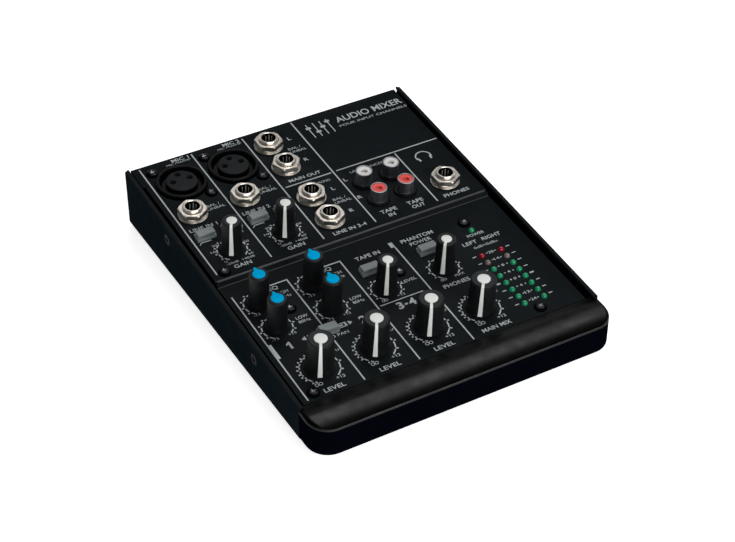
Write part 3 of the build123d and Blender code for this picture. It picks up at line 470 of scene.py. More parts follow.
def make_knobs():
    for name, kind in KNOBS.items():
        mesh = Mesh()
        knob_body(mesh, kind)
        if kind == EQ:
            disc_cap(mesh, teardrop(2.95, 4.1, 0.68), 0.15)
            pointer, slot, turn = BLUE, "blue_knob_plastic", 0.0
        else:
            disc_cap(mesh, circle(DOT_RADIUS[kind]), 0.12)
            pointer_line(mesh, kind)
            pointer, slot, turn = KNOB_WHITE, "knob_plastic", REST_TURN + FITTED_TURN.get(name, 0.0)
        mesh.move(Matrix.Translation(JOINT_PLACE[name + "_turn"]) @ DECK_TILT @ spin(turn))
        mesh.finish(name + "_knob_cap", (KNOB, pointer, KNOB_TOP_PAINTED_LIGHT), slot, [name + "_knob"], name + "_knob")
        use_material(name + "_shaft", SHAFT)


# ---- push buttons ----
BUTTONS = {
    "line_1_button": (CHANNELS[0] - 7.1, 61.2),
    "line_2_button": (CHANNELS[1] - 7.1, 61.2),
    "instrument_1_button": (CHANNELS[0] + 6.8, 61.2),
    "instrument_2_button": (CHANNELS[1] + 6.8, 61.2),
    "tape_in_button": (-5.6, 116.2),
    "phantom_power_button": (25.9, 116.2),
    "stereo_pan_button": (-42.6, 143.0),
}


def dimpled_top(mesh, width, depth, height, columns, rows, rise):
    """Grid of small raised pads that gives a button's face its grip."""
    cells = 6
    nx, ny = columns * cells, rows * cells
    grid = []
    for j in range(ny + 1):
        row = []
        for i in range(nx + 1):
            wave = abs(math.sin(math.pi * i / cells) * math.sin(math.pi * j / cells)) ** 0.6
            row.append((width * (i / nx - 0.5), depth * (j / ny - 0.5), height + rise * wave))
        grid.append(row)
    mesh.rings(grid, closed=False)


def make_buttons():
    for name, (x, setback) in BUTTONS.items():
        mesh = Mesh()
        mesh.box(9.8, 5.2, -2.2, 1.5, 0.35, 0.2)
        mesh.box(7.8, 3.2, 1.3, 2.4, 0.3, 0.1, slot=1)
        mesh.box(9.2, 4.5, 2.25, 3.42, 0.4, 0.3, taper=0.1, segments=4)
        mesh.box(3.0, 3.0, -7.0, -2.1, 0.3, 0.1)
        dimpled_top(mesh, 8.4, 3.7, 3.42, 8, 4, 0.17)
        mesh.move(on_deck(x, setback))
        mesh.finish(name + "_cap", [GREY, CHIP], "grey_button", [name], name)


# ---- jack sockets ----
JACKS = {
    (-62.5, 44.2): 2,
    (-34.3, 44.2): 0,
    (-5.6, 13.5): -1,
    (-5.6, 32.4): 24,
    (-5.5, 58.8): 37,
    (-5.5, 77.5): 0,
    (59.4, 77.5): 1,
}
JACK_BORE = 3.22
NUT_FLATS, NUT_LOW, NUT_HIGH, NUT_BORE, NUT_CORNER_CUT = 12.7, 1.55, 4.3, 4.75, 0.6
THREAD, GROOVE = 4.7, 4.5


def hex_nut(mesh, place, columns=72):
    """Hexagon nut with chamfered corners on top and bottom."""
    def hexagon(angle, reach):
        side = NUT_FLATS / 2 / math.cos(math.radians((angle + 30) % 60 - 30))
        return polar(min(side, reach), angle)

    corner = NUT_FLATS / 2 / math.cos(math.pi / 6)
    cut = corner - NUT_CORNER_CUT
    rings = []
    for reach, z in ((cut, NUT_LOW), (corner, NUT_LOW + 0.3), (corner, NUT_HIGH - 0.45), (cut, NUT_HIGH)):
        rings.append([(*hexagon(360.0 * k / columns, reach), z) for k in range(columns)])
    for radius, z in ((NUT_BORE + 0.35, NUT_HIGH), (NUT_BORE, NUT_HIGH - 0.35), (NUT_BORE, NUT_LOW)):
        rings.append([(x, y, z) for x, y in circle(radius, columns)])
    mesh.rings(rings + rings[:1], place)


def jack_body(mesh, place, steps=32):
    """Box under the deck with a round hole from its top."""
    low, high, hole_foot = -20.45, -1.3, -19.5
    outer = [(-6.5, -7.5), (6.5, -7.5), (6.5, 7.5), (-6.5, 7.5)]
    rim = circle(JACK_BORE, steps)
    mesh.rings([[(x, y, z) for x, y in outer] for z in (low, high)], place, caps=(0,))
    mesh.rings([[(x, y, z) for x, y in rim] for z in (high, hole_foot)], place, caps=(-1,))
    mesh.fill([outer, rim], high, place)


def contact_blade(mesh, place, offset, foot, tip, reach):
    """Spring leaf on the bore's wall: foot and tip are its widths, and reach is its top."""
    angle = -30 - math.degrees(offset / 3.1)
    rings = []
    for z, width in ((-15.0, foot), (0.5, foot), (reach, tip)):
        half = width / 2
        rings.append([(-half, 2.8, z), (half, 2.8, z), (half, 3.15, z), (-half, 3.15, z)])
    mesh.rings(rings, place @ spin(angle), slot=1, caps=(0, -1))


def make_jacks():
    nuts, washers, bushings, bodies = Mesh(), Mesh(), Mesh(), Mesh()
    barrel = [(THREAD, -1.25)]
    for crest_end, groove_start, groove_end, crest_start in ((4.4, 4.5, 4.6, 4.7), (4.9, 5.0, 5.1, 5.2)):
        barrel += [(THREAD, crest_end), (GROOVE, groove_start), (GROOVE, groove_end), (THREAD, crest_start)]
    barrel += [(THREAD, 5.35), (4.3, 5.9), (3.75, 5.9), (3.62, 5.7)]
    barrel = rounded(barrel, [0] + [0.05] * 8 + [0.1, 0.15, 0.1, 0])
    liner = rounded([(3.62, 5.7), (JACK_BORE, 5.2), (JACK_BORE, -1.25), (THREAD, -1.25)], [0, 0.2, 0, 0])
    for (x, setback), turn in JACKS.items():
        place = on_deck(x, setback)
        hex_nut(nuts, on_deck(x, setback, turn=turn))
        for reach, low, high in ((7.35, 0.05, 0.8), (6.9, 0.85, 1.5)):
            section = [(4.8, low), (reach, low), (reach, high), (4.8, high), (4.8, low)]
            washers.lathe(rounded(section, [0, 0.1, 0.2, 0.1, 0]), place)
        bushings.lathe(barrel, place)
        bushings.lathe(liner, place, slot=1)
        jack_body(bodies, place)
        contact_blade(bodies, place, 0.1, 0.95, 0.3, 5.0)
        for offset in (-1.7, 1.6):
            contact_blade(bodies, place, offset, 0.4, 0.25, 4.6)
    nuts.finish("jack_hex_nuts", [NICKEL], "nickel", ["jack_nuts"], sharp=18)
    washers.finish("jack_flat_washers", [NICKEL], "nickel", ["jack_washers"])
    bushings.finish("jack_threaded_bushings", [NICKEL, BLACK_AND_PAINTED_SHADE], "nickel", ["jack_bushings"])
    bodies.finish("jack_socket_bodies", [BLACK_AND_PAINTED_SHADE, CONTACT], "socket_plastic", ["jack_bodies"])


# ---- XLR sockets ----
XLR_CENTRES = [(CHANNELS[0], 20.4), (CHANNELS[1], 20.4)]
XLR_SCREWS = [(-9.7, 13.0), (9.7, -13.0)]
SHELL_OUT, SHELL_IN, XLR_FOOT = 12.6, 11.0, -19.9
INSERT_RADIUS, INSERT_FLAT, INSERT_TOP = 7.8, 7.3, 2.15
PIN_HOLE, PIN_DEPTH = 1.62, 14.0


def make_xlr():
    shells, inserts, contacts = Mesh(), Mesh(), Mesh()
    ring = rounded(
        [(SHELL_OUT, 1.55), (SHELL_OUT, 1.75), (12.1, 2.2), (11.25, 2.2), (SHELL_IN, 1.9)],
        [0, 0.2, 0.3, 0.15, 0],
    )
    # the well and the ring's outer wall up to 1.55 mm take near black: painted shade
    well = [(SHELL_IN, 1.9), (9.9, -0.6), (9.8, -13.0), (8.7, -13.0), (8.7, XLR_FOOT)]
    well += [(SHELL_OUT, XLR_FOOT), (SHELL_OUT, 1.55)]
    pins = [polar(4.5, angle, (0.0, 0.6)) for angle in (0, 90, 180)]
    tube = [(1.0, -13.0), (1.4, -13.0), (1.4, -1.2), (1.25, -1.0), (1.05, -1.1), (1.0, -13.0)]
    hole = [(PIN_HOLE, INSERT_TOP), (PIN_HOLE, INSERT_TOP - PIN_DEPTH), (0, INSERT_TOP - PIN_DEPTH)]
    for x, setback in XLR_CENTRES:
        place = on_deck(x, setback)
        shells.lathe(ring, place, steps=96)
        shells.lathe(well, place, slot=1, steps=96)
        shells.box(26.0, 31.0, -4.25, -1.25, 2.0, 0.2, place=place)
        # the insert's side below its top takes near black: painted shade
        inserts.lathe([(0, XLR_FOOT), (INSERT_RADIUS, XLR_FOOT), (INSERT_RADIUS, 1.75)], place, slot=1)
        inserts.lathe([(INSERT_RADIUS, 1.75), (7.72, 1.97), (7.54, 2.11), (INSERT_FLAT, INSERT_TOP)], place)
        holes = [circle(PIN_HOLE, 24, pin) for pin in pins]
        inserts.fill([circle(INSERT_FLAT, 64)] + holes, INSERT_TOP, place)
        for px, py in pins:
            inserts.lathe(hole, place @ shift(px, py, 0), steps=24)
            contacts.lathe(tube, place @ shift(px, py, 0), steps=24)
    shells.finish("xlr_ring_shells", [SOCKET, BLACK_AND_PAINTED_SHADE], "socket_plastic", ["xlr_shells"])
    inserts.finish("xlr_round_inserts", [SOCKET_INSERT, BLACK_AND_PAINTED_SHADE], "socket_plastic", ["xlr_inserts"])
    contacts.finish("xlr_contact_tubes", [GOLD], "contact_metal", ["xlr_contacts"])


# ---- phono sockets ----
RCA_X = (22.9, 38.1)
RCA_SETBACKS = (60.2, 74.8)


def make_rca():
    body, shells = Mesh(), Mesh()
    inserts = (Mesh(), Mesh())
    middle = on_deck(sum(RCA_X) / 2, sum(RCA_SETBACKS) / 2)
    body.box(29.6, 29.0, -20.45, -1.25, 0.4, 0.3, place=middle)
    boss = rounded([(0, 0.9), (5.5, 0.9), (5.6, 0.0), (5.6, -1.5)], [0, 0.3, 0, 0])
    barrel = [(3.6, 7.0), (3.6, 7.7), (4.15, 7.7), (4.15, 6.9)]
    barrel += [(4.05, 6.6), (4.05, 1.2), (4.15, 0.9), (4.15, -1.0)]
    barrel = rounded(barrel, [0, 0.12, 0.22, 0.1, 0, 0.1, 0, 0])
    insulator = rounded(
        [(3.58, 7.0), (3.58, 7.35), (3.3, 7.42), (1.9, 7.42), (1.65, 7.2), (1.5, 5.9), (0, 5.8)],
        [0, 0.1, 0.1, 0.15, 0.1, 0.2, 0],
    )
    centre_tube = [(1.6, 6.3), (1.6, -1.4), (1.35, -1.4), (1.35, 6.3), (1.6, 6.3)]
    for row, setback in enumerate(RCA_SETBACKS):
        for x in RCA_X:
            place = on_deck(x, setback)
            body.lathe(boss, place)
            shells.lathe(barrel, place)
            inserts[row].lathe(insulator, place)
            shells.lathe(centre_tube, place, steps=24)
    body.finish("rca_block", [SOCKET], "socket_plastic", ["rca_body"])
    shells.finish("rca_barrels", [DARK_CHROME], "dark_chrome", ["rca_shells"])
    inserts[0].finish("rca_insulators_white", [WHITE_PLASTIC], "white_plastic", ["rca_white_inserts"])
    inserts[1].finish("rca_insulators_red", [RED_PLASTIC], "red_plastic", ["rca_red_inserts"])


# ---- lamps ----
METER_X = (46.9, 57.7)
METER_ROWS = [131.7 + 5.28 * k for k in range(8)]


def make_lamps():
    groups = {
        "red": (RED_LED, [(x, METER_ROWS[0]) for x in METER_X]),
        "amber": (AMBER_LED, [(x, METER_ROWS[1]) for x in METER_X]),
        "green": (GREEN_LED, [(52.4, 113.5)] + [(x, v) for v in METER_ROWS[2:] for x in METER_X]),
    }
    dome = [(1.5, -2.0), (1.5, 0.1)] + [polar(1.5, a, (0.0, 0.1)) for a in range(10, 81, 10)] + [(0, 1.6)]
    for colour, (material, places) in groups.items():
        mesh = Mesh()
        for place in places:
            mesh.lathe(dome, on_deck(*place), steps=32)
        mesh.finish(f"{colour}_lenses", [material], f"{colour}_lens", [f"{colour}_leds"])


# ---- screws ----
DECK_SCREWS = [(-67.3, 88.2), (-67.0, 174.2), (52.0, 174.2), (52.0, 107.3), (6.2, 123.6), (-51.0, 122.2)]
SIDE_SCREWS = [(48.2, 20.4), (139.1, 13.6)]
BOTTOM_SCREWS = [(x, 188.0) for x in (-50.0, 0.0, 50.0)]
PAN_RADIUS, PAN_HEIGHT, PAN_FOOT, PAN_SWEEP = 3.1, 1.5, 0.3, 78
FLUSH_RADIUS, FLUSH_TOP = 2.83, -0.05
ARM, ARM_HALF = 1.4, 0.42


def screw_head(mesh, place, profile, head_slot=0, recess_slot=1):
    """Turned head with a cross recess in the flat inside the profile's last point."""
    mesh.lathe(profile, place, head_slot, steps=40)
    flat, height = profile[-1]
    quarter = [(ARM, -ARM_HALF), (ARM, ARM_HALF), (ARM_HALF, ARM_HALF)]
    cross = []
    for angle in (0, 90, 180, 270):
        cross += [tuple((spin(angle) @ Vector((x, y, 0)))[:2]) for x, y in quarter]
    mesh.fill([circle(flat, 40), cross], height, place, head_slot)
    low = [(x * 0.35, y * 0.35, height - 0.45) for x, y in cross]
    mesh.rings([[(x, y, height) for x, y in cross], low], place, recess_slot, caps=(-1,))


def pan_head(mesh, place):
    profile = [(0, -5.0), (1.45, -5.0), (1.45, 0.05), (PAN_RADIUS - 0.05, 0.05), (PAN_RADIUS, PAN_FOOT)]
    for k in range(1, 10):
        c, s = polar(1.0, PAN_SWEEP * k / 9)
        rise = s / math.sin(math.radians(PAN_SWEEP))
        profile.append((PAN_RADIUS * (0.3 + 0.7 * c), PAN_FOOT + (PAN_HEIGHT - PAN_FOOT) * rise))
    screw_head(mesh, place, profile)


def flush_head(mesh, place):
    profile = [(0, -5.0), (1.4, -5.0), (1.4, -1.3), (2.9, -0.2), (2.9, -0.12), (FLUSH_RADIUS, FLUSH_TOP)]
    # side heads take the lighter copy of the black zinc: painted light
    screw_head(mesh, place, profile, head_slot=2, recess_slot=0)


def make_screws():
    mesh = Mesh()
    for index, (x, setback) in enumerate(DECK_SCREWS):
        pan_head(mesh, on_deck(x, setback, turn=17 * index))
    for x, setback in XLR_CENTRES:
        for index, (dx, dy) in enumerate(XLR_SCREWS):
            pan_head(mesh, on_deck(x + dx, setback - dy, turn=25 * index))
    for x, setback in BOTTOM_SCREWS:
        pan_head(mesh, shift(x, REAR_Y - setback, FOOT) @ spin(180, "X"))
    for side in (-1, 1):
        for setback, height in SIDE_SCREWS:
            flush_head(mesh, shift(side * HALF_WIDTH, REAR_Y - setback, FOOT + height) @ spin(side * 90, "Y"))
    mesh.finish("cross_head_screws", [SCREW, RECESS_WEAR_AND_GLINT, SIDE_SCREW_PAINTED_LIGHT], "black_screw", ["screws"])


# ---- printed graphics ----
INK = 0.03
CAP_HEIGHT = 0.73
LINE_WIDTH = 0.67
PLAIN, MEDIUM, BOLD, HEAVY = 0.0, 0.01, 0.012, 0.03
EVEN_TICKS = range(-120, 121, 30)
LEVEL_LONG_TICKS = (-115, -90, -60, -30, 0, 60, 120)
LEVEL_SHORT_TICKS = (-135, -102, -74, -45, -15, 30, 90)


def clock(centre, radius, degrees):
    """Point on the deck at a clock angle: 0 is to the rear, 90 to the right."""
    a = math.radians(degrees)
    return (centre[0] + radius * math.sin(a), centre[1] - radius * math.cos(a))


class Print:
    """Thin ink shapes on the deck, drawn in (x, setback) millimetres."""

    def __init__(self):
        self.mesh = Mesh()

    def polygon(self, points):
        """Closed outline of (x, setback) points, as a thin plate of ink."""
        levels = [[on_deck(x, s, z).translation for x, s in points] for z in (0.0, INK)]
        self.mesh.rings(levels, caps=(-1,))

    def line(self, a, b, width):
        (ax, ay), (bx, by) = a, b
        length = math.hypot(bx - ax, by - ay)
        nx, ny = -(by - ay) / length * width / 2, (bx - ax) / length * width / 2
        self.polygon([(ax + nx, ay + ny), (ax - nx, ay - ny), (bx - nx, by - ny), (bx + nx, by + ny)])

    def lines(self, width, rows):
        for ax, ay, bx, by in rows:
            self.line((ax, ay), (bx, by), width)

    def arc(self, centre, radius, width, start, end):
        """Part of a ring, from one clock angle to another."""
        steps = max(2, int(abs(end - start) / 6))
        angles = [start + (end - start) * k / steps for k in range(steps + 1)]
        outer = [clock(centre, radius + width / 2, a) for a in angles]
        inner = [clock(centre, radius - width / 2, a) for a in angles]
        self.polygon(outer + inner[::-1])

    def text(self, words, x, setback, cap, width, weight=PLAIN, slant=0.0):
        """Lettering width across and with capitals cap tall, centred on (x, setback)."""
        curve = bpy.data.curves.new("lettering", "FONT")
        curve.body = words
        curve.align_x = "CENTER"
        curve.size = 1.0
        curve.offset = weight
        curve.shear = slant
        curve.resolution_u = 3
        holder = new_object("lettering", curve)
        data = bpy.data.meshes.new_from_object(holder.evaluated_get(bpy.context.evaluated_depsgraph_get()))
        verts = [v.co.copy() for v in data.vertices]
        faces = [list(p.vertices) for p in data.polygons]
        low, high = min(v.x for v in verts), max(v.x for v in verts)
        stretch = Matrix.Diagonal((width / (high - low), cap / CAP_HEIGHT, 1, 1))
        place = on_deck(x, setback, INK) @ shift(0, -cap / 2, 0) @ stretch @ shift(-(low + high) / 2, 0, 0)
        self.mesh.add(verts, faces, place)
        bpy.data.objects.remove(holder)
        bpy.data.curves.remove(curve)
        bpy.data.meshes.remove(data)

    def texts(self, weight, rows):
        for row in rows:
            self.text(*row, weight)

    def knob_scale(self, x, setback, radius=7.2, long_ticks=(), short_ticks=EVEN_TICKS):
        """Broken ring with ticks outside it, from 7 o'clock round to 5 o'clock."""
        marks = sorted([(a, 0.0) for a in long_ticks] + [(a, 0.55) for a in short_ticks])
        gap = math.degrees(0.62 / radius)
        stops = [-150.0] + [a for a, _ in marks if abs(a) < 149] + [150.0]
        for a, b in zip(stops, stops[1:]):
            if b - a > 2.6 * gap:
                self.arc((x, setback), radius, 0.62, a + gap, b - gap)
        for a, start in marks:
            self.line(clock((x, setback), radius + start, a), clock((x, setback), radius + 1.45, a), 0.72)

    def infinity(self, x, setback, cap):
        """The sign for silence at the bottom of a level scale: two small rings side by side."""
        for side in (-1, 1):
            self.arc((x + side * cap * 0.46, setback), cap * 0.4, 0.34, 0, 359.9)


def print_dividers(ink, left, borders):
    ink.lines(LINE_WIDTH, [(left, 1.4, left, 88.2), (left, 103.0, left, 177.2), (48.3, 47.3, 48.3, 89.0)])
    rear_ends = ((1.5, 88.6), (1.7, 88.6), (1.2, 88.9))
    front_ends = ((103.4, 177.4), (103.4, 177.6), (103.2, 177.9))
    for ends in (rear_ends, front_ends):
        ink.lines(LINE_WIDTH, [(x, a, x, b) for x, (a, b) in zip(borders, ends)])
    ink.lines(LINE_WIDTH, [(-13.1, 46.2, 12.3, 46.2), (15.4, 46.0, 73.7, 46.0)])
    ink.lines(LINE_WIDTH, [(x - 9.0, 103.75, x + 0.4, 103.75) for x in borders[:2]])
    ink.lines(1.8, [(-70.4, 138.9, -70.4, 148.7)])
    ink.lines(2.0, [(12.7, 103.2, 12.7, 106.8)])
    ink.lines(LINE_WIDTH * 0.8, [(-13.2, 139.5, 9.6, 139.5)])


def print_input_channel(ink, number, x):
    ink.text("MIC PREAMP", x + 5.6, 4.6, 1.25, 13.2, slant=0.15)
    ink.texts(BOLD, [
        (f"MIC {number}", x + 7.5, 2.3, 2.4, 9.3),
        (f"LINE IN {number}", x - 4.9, 54.7, 2.35, 14.6),
        ("GAIN", x - 0.1, 86.9, 2.5, 9.0),
    ])
    ink.texts(MEDIUM, [("LOW", x + 8.4, 129.0, 1.9, 6.0), ("80Hz", x + 8.4, 131.8, 1.8, 6.0)])
    ink.texts(PLAIN, [
        ("BAL /", x + 6.4, 41.7, 1.75, 6.9), ("UNBAL", x + 7.1, 44.2, 1.75, 9.2),
        ("INST", x + 8.6, 65.8, 1.4, 4.8), ("U", x - 6.4, 81.8, 1.4, 1.4),
        ("10", x - 8.8, 73.2, 1.4, 2.5), ("20", x - 6.3, 69.3, 1.4, 2.5),
        ("40", x + 6.6, 69.3, 1.4, 2.5), ("50", x + 8.6, 73.1, 1.4, 2.5),
        ("60", x + 6.7, 81.6, 1.4, 2.5),
        ("-20dB", x - 4.0, 83.9, 1.4, 6.2), ("+40dB", x + 4.2, 83.9, 1.4, 6.6),
        ("EQ", x + 5.5, 106.0, 2.4, 5.0), ("HIGH", x + 7.9, 110.4, 1.9, 6.4),
        ("12kHz", x + 7.7, 113.3, 1.8, 7.0),
    ])
    ink.line((x - 12.1, 66.1), (x - 10.9, 64.7), 0.4)
    ink.line((x - 10.9, 64.75), (x - 5.6, 64.75), 0.55)
    ink.knob_scale(x, 75.4)
    for setback in (112.2, 130.3):
        ink.knob_scale(x - 4.8, setback)
        ink.text("-15", x - 9.1, setback + 6.5, 1.5, 3.5)
        ink.text("+15", x - 0.5, setback + 6.5, 1.5, 3.9)


def print_level_controls(ink):
    first, second, third, fourth = CHANNELS
    levels = [(x, "LEVEL", 10.5) for x in (first, second, third)]
    for x, words, width in levels + [(fourth - 0.3, "MAIN MIX", 15.4)]:
        ink.knob_scale(x, 161.8, 9.15, LEVEL_LONG_TICKS, LEVEL_SHORT_TICKS)
        ink.text(words, x, 175.3, 2.5, width, BOLD)
        ink.infinity(x - 5.3, 170.7, 2.1)
        ink.text("+12", x + 5.6, 170.7, 1.75, 4.4, MEDIUM)
        ink.text("U", x + 12.3, 155.2, 1.5, 1.6)
    one = [(0.95, 140.9), (0.95, 145.4), (-0.15, 145.4), (-0.15, 142.3)]
    one += [(-1.25, 142.9), (-1.25, 141.9), (0.1, 140.9)]
    ink.polygon([(first - 5.3 + x, s) for x, s in one])
    for words, x, width in (("2", second + 4.2, 3.4), ("3", third - 4.3, 3.0), ("4", third + 2.1, 3.5)):
        ink.text(words, x, 143.2, 4.5, width, HEAVY)
    ink.line((third - 2.0, 143.6), (third - 0.4, 143.6), 1.0)


def print_stereo_pan(ink):
    middle = 142.4
    for tip, base in ((-55.8, -53.6), (-29.7, -31.7)):
        ink.polygon([(tip, middle), (base, middle - 1.4), (base, middle + 1.4)])
    ink.lines(0.5, [(-52.6, middle, -48.4, middle)])
    ink.lines(0.5, [(-36.9, s, -32.7, s) for s in (141.2, 143.6)])
    ink.lines(2.6, [(-52.6, middle, -49.0, middle)])
    ink.lines(1.1, [(-33.2, 141.2, -33.2, 143.6)])
    ink.lines(0.9, [(-36.9, middle, -34.6, middle)])
    ink.text("STEREO PAN", -43.0, 147.1, 2.0, 17.5)


def print_sockets_and_title(ink):
    ink.texts(BOLD, [
        ("L", 6.6, 12.4, 2.4, 1.7), ("R", 6.4, 30.9, 2.4, 2.2), ("MAIN OUT", -0.65, 42.8, 2.25, 17.5),
        ("L", 7.3, 57.3, 2.4, 1.7), ("R", 7.3, 75.8, 2.4, 2.2), ("LINE IN 3-4", -0.1, 87.5, 2.35, 18.0),
        ("L", 15.9, 54.2, 2.4, 1.7), ("R", 15.8, 68.9, 2.4, 2.2),
        ("TAPE", 23.3, 84.1, 2.5, 8.8), ("IN", 23.3, 87.5, 2.4, 3.5),
        ("TAPE", 38.2, 84.1, 2.5, 8.8), ("OUT", 38.2, 87.5, 2.4, 7.0), ("PHONES", 60.0, 87.4, 2.4, 14.2),
    ])
    ink.texts(PLAIN, [
        ("BAL /", 5.5, 20.2, 1.75, 6.9), ("UNBAL", 6.4, 22.9, 1.75, 9.0), ("MONO", 6.0, 50.4, 1.7, 6.8),
        ("BAL /", 6.4, 65.2, 1.75, 6.9), ("UNBAL", 7.2, 67.8, 1.75, 9.0),
        ("UNBALANCED", 30.6, 50.3, 1.75, 19.6), ("FOUR INPUT CHANNELS", 54.4, 14.9, 1.7, 39.4),
    ])
    ink.text("AUDIO MIXER", 54.4, 9.7, 4.6, 38.6, MEDIUM)
    # headphone sign
    ink.arc((60.0, 56.0), 4.1, 0.62, -105, 105)
    for side in (-1, 1):
        ink.line((60.0 + side * 3.55, 56.0), (60.0 + side * 3.0, 58.7), 1.0)
    # icon of four faders
    for index, cap in enumerate((9.6, 14.0, 11.2, 8.2)):
        x = 19.2 + 3.8 * index
        ink.line((x, 6.4), (x, 17.9), 0.5)
        ink.line((x - 1.3, cap), (x + 1.3, cap), 1.5)


def print_tape_phones_and_meters(ink):
    ink.texts(BOLD, [
        ("TAPE IN", -1.2, 106.3, 2.5, 13.1), ("PHANTOM", 26.6, 105.2, 2.5, 17.6),
        ("POWER", 26.6, 108.8, 2.4, 11.5), ("PHONES", 26.5, 141.9, 2.5, 14.1),
        ("LEFT", 46.8, 120.9, 2.35, 7.7), ("RIGHT", 58.8, 120.9, 2.35, 10.4),
    ])
    ink.texts(PLAIN, [
        ("+12", -0.7, 137.1, 1.5, 4.0), ("LEVEL", 7.6, 130.0, 1.85, 8.0), ("MAX", 30.9, 137.4, 1.55, 5.0),
        ("0dB=0dBu", 53.2, 125.0, 1.7, 13.0),
    ])
    ink.text("POWER", 52.9, 116.4, 1.9, 9.3, MEDIUM)
    ink.knob_scale(-4.9, 130.4)
    ink.knob_scale(26.7, 130.4)
    ink.infinity(-9.4, 137.1, 1.7)
    ink.infinity(22.2, 137.4, 1.7)
    for setback, words in zip(METER_ROWS, ("20", "14", "8", "4", "0", "4", "12", "24")):
        row = setback - 1.0
        ink.text(words, 52.5, row, 1.6, 1.45 * len(words), MEDIUM)
        spans = ((42.3, 44.4), (49.9, 50.7), (54.5, 55.3), (60.9, 63.0))
        ink.lines(0.9 if words == "0" else 0.5, [(a, row, b, row) for a, b in spans])


def make_print():
    ink = Print()
    print_dividers(ink, -71.2, (-42.95, -14.75, 13.5))
    for number, x in enumerate(CHANNELS[:2], 1):
        print_input_channel(ink, number, x)
    print_level_controls(ink)
    print_stereo_pan(ink)
    print_sockets_and_title(ink)
    print_tape_phones_and_meters(ink)
    ink.mesh.finish("deck_print", [PRINT], "deck_paint", sharp=20)


# ---- front bumper ----
BUMPER_REAR, BUMPER_FRONT, BUMPER_CORNER = 182.15, 199.0, 11.0
TONGUE_X, TONGUE_REAR, TONGUE_FOOT = 75.9, 178.95, 12.0
ROLL_INSET = 0.65
ROLL_EDGE_RADIUS, ROLL_EDGE_RISE, CREST_BLEND = 4.2, 3.4, 1.3
CREST = [
    (178.9, 15.55), (181.5, 16.1), (184.5, 17.1), (187.5, 17.5), (189.5, 17.4),
    (191.5, 17.05), (193.5, 16.45), (195.5, 15.5), (197.0, 14.4), (198.4, 12.9),
]


def ledge_height(setback):
    return FOOT + 16.3 - 1.1 * share_between(setback, 183.0, 198.0)


def crest(setback):
    """Height of the roll along the middle of the bumper: a smooth curve through CREST."""
    last = len(CREST) - 1
    i = next((k for k in range(last) if setback <= CREST[k + 1][0]), last - 1)
    (s0, h0), (s1, h1) = CREST[i], CREST[i + 1]
    before, after = CREST[max(0, i - 1)], CREST[min(last, i + 2)]
    m0 = (h1 - before[1]) / (s1 - before[0]) * (s1 - s0)
    m1 = (after[1] - h0) / (after[0] - s0) * (s1 - s0)
    t = (setback - s0) / (s1 - s0)
    ends = h0 * (2 * t ** 3 - 3 * t ** 2 + 1) + h1 * (3 * t ** 2 - 2 * t ** 3)
    return FOOT + ends + m0 * (t ** 3 - 2 * t ** 2 + t) + m1 * (t ** 3 - t ** 2)


def bumper_outline(inset, steps=14):
    """(x, setback) points from the left rear round the front to the right rear."""
    r = BUMPER_CORNER - inset
    w, f = HALF_WIDTH - inset, BUMPER_FRONT - inset
    points = [(-w, BUMPER_REAR + (f - r - BUMPER_REAR) * k / 6) for k in range(6)]
    for k in range(steps + 1):
        c, s = polar(r, 90 * k / steps)
        points.append((-w + r - c, f - r + s))
    middle = [(-w + r + 2 * (w - r) * k / 24, f) for k in range(1, 24)]
    return points + middle + [(-x, s) for x, s in reversed(points)]


def roll_height(x, setback):
    """Height of the roll's skin: it rises steeply from the ledge, then blends into the crest."""
    r = BUMPER_CORNER - ROLL_INSET
    w, f = HALF_WIDTH - ROLL_INSET, BUMPER_FRONT - ROLL_INSET
    inside = min(w - abs(x), f - setback) if setback > BUMPER_REAR else 99.0
    if abs(x) > w - r and setback > f - r:
        inside = r - math.hypot(abs(x) - (w - r), setback - (f - r))
    t = share_between(inside, 0.0, ROLL_EDGE_RADIUS)
    skirt = ledge_height(setback) - 0.05 + ROLL_EDGE_RISE * math.sqrt(max(0.0, 1 - (1 - t) ** 2))
    middle = crest(setback)
    blend = max(CREST_BLEND - abs(skirt - middle), 0.0) / CREST_BLEND
    return min(skirt, middle) - blend * blend * CREST_BLEND * 0.25


def roll_half_width(setback):
    if setback <= BUMPER_REAR:
        return TONGUE_X
    r = BUMPER_CORNER - ROLL_INSET
    w = HALF_WIDTH - ROLL_INSET
    over = setback - (BUMPER_FRONT - ROLL_INSET - r)
    return w if over <= 0 else w - r + math.sqrt(max(0.0, r * r - over * over))


def roll_rows(setbacks, columns=96):
    """Rows of points across the roll, closer together towards its ends."""
    rows = []
    for setback in setbacks:
        row = []
        for c in range(columns + 1):
            u = -math.cos(math.pi * c / columns)
            x = roll_half_width(setback) * (0.55 * u + 0.45 * math.copysign(1 - (1 - abs(u)) ** 1.6, u))
            row.append((x, REAR_Y - setback, roll_height(x, setback)))
        rows.append(row)
    return rows


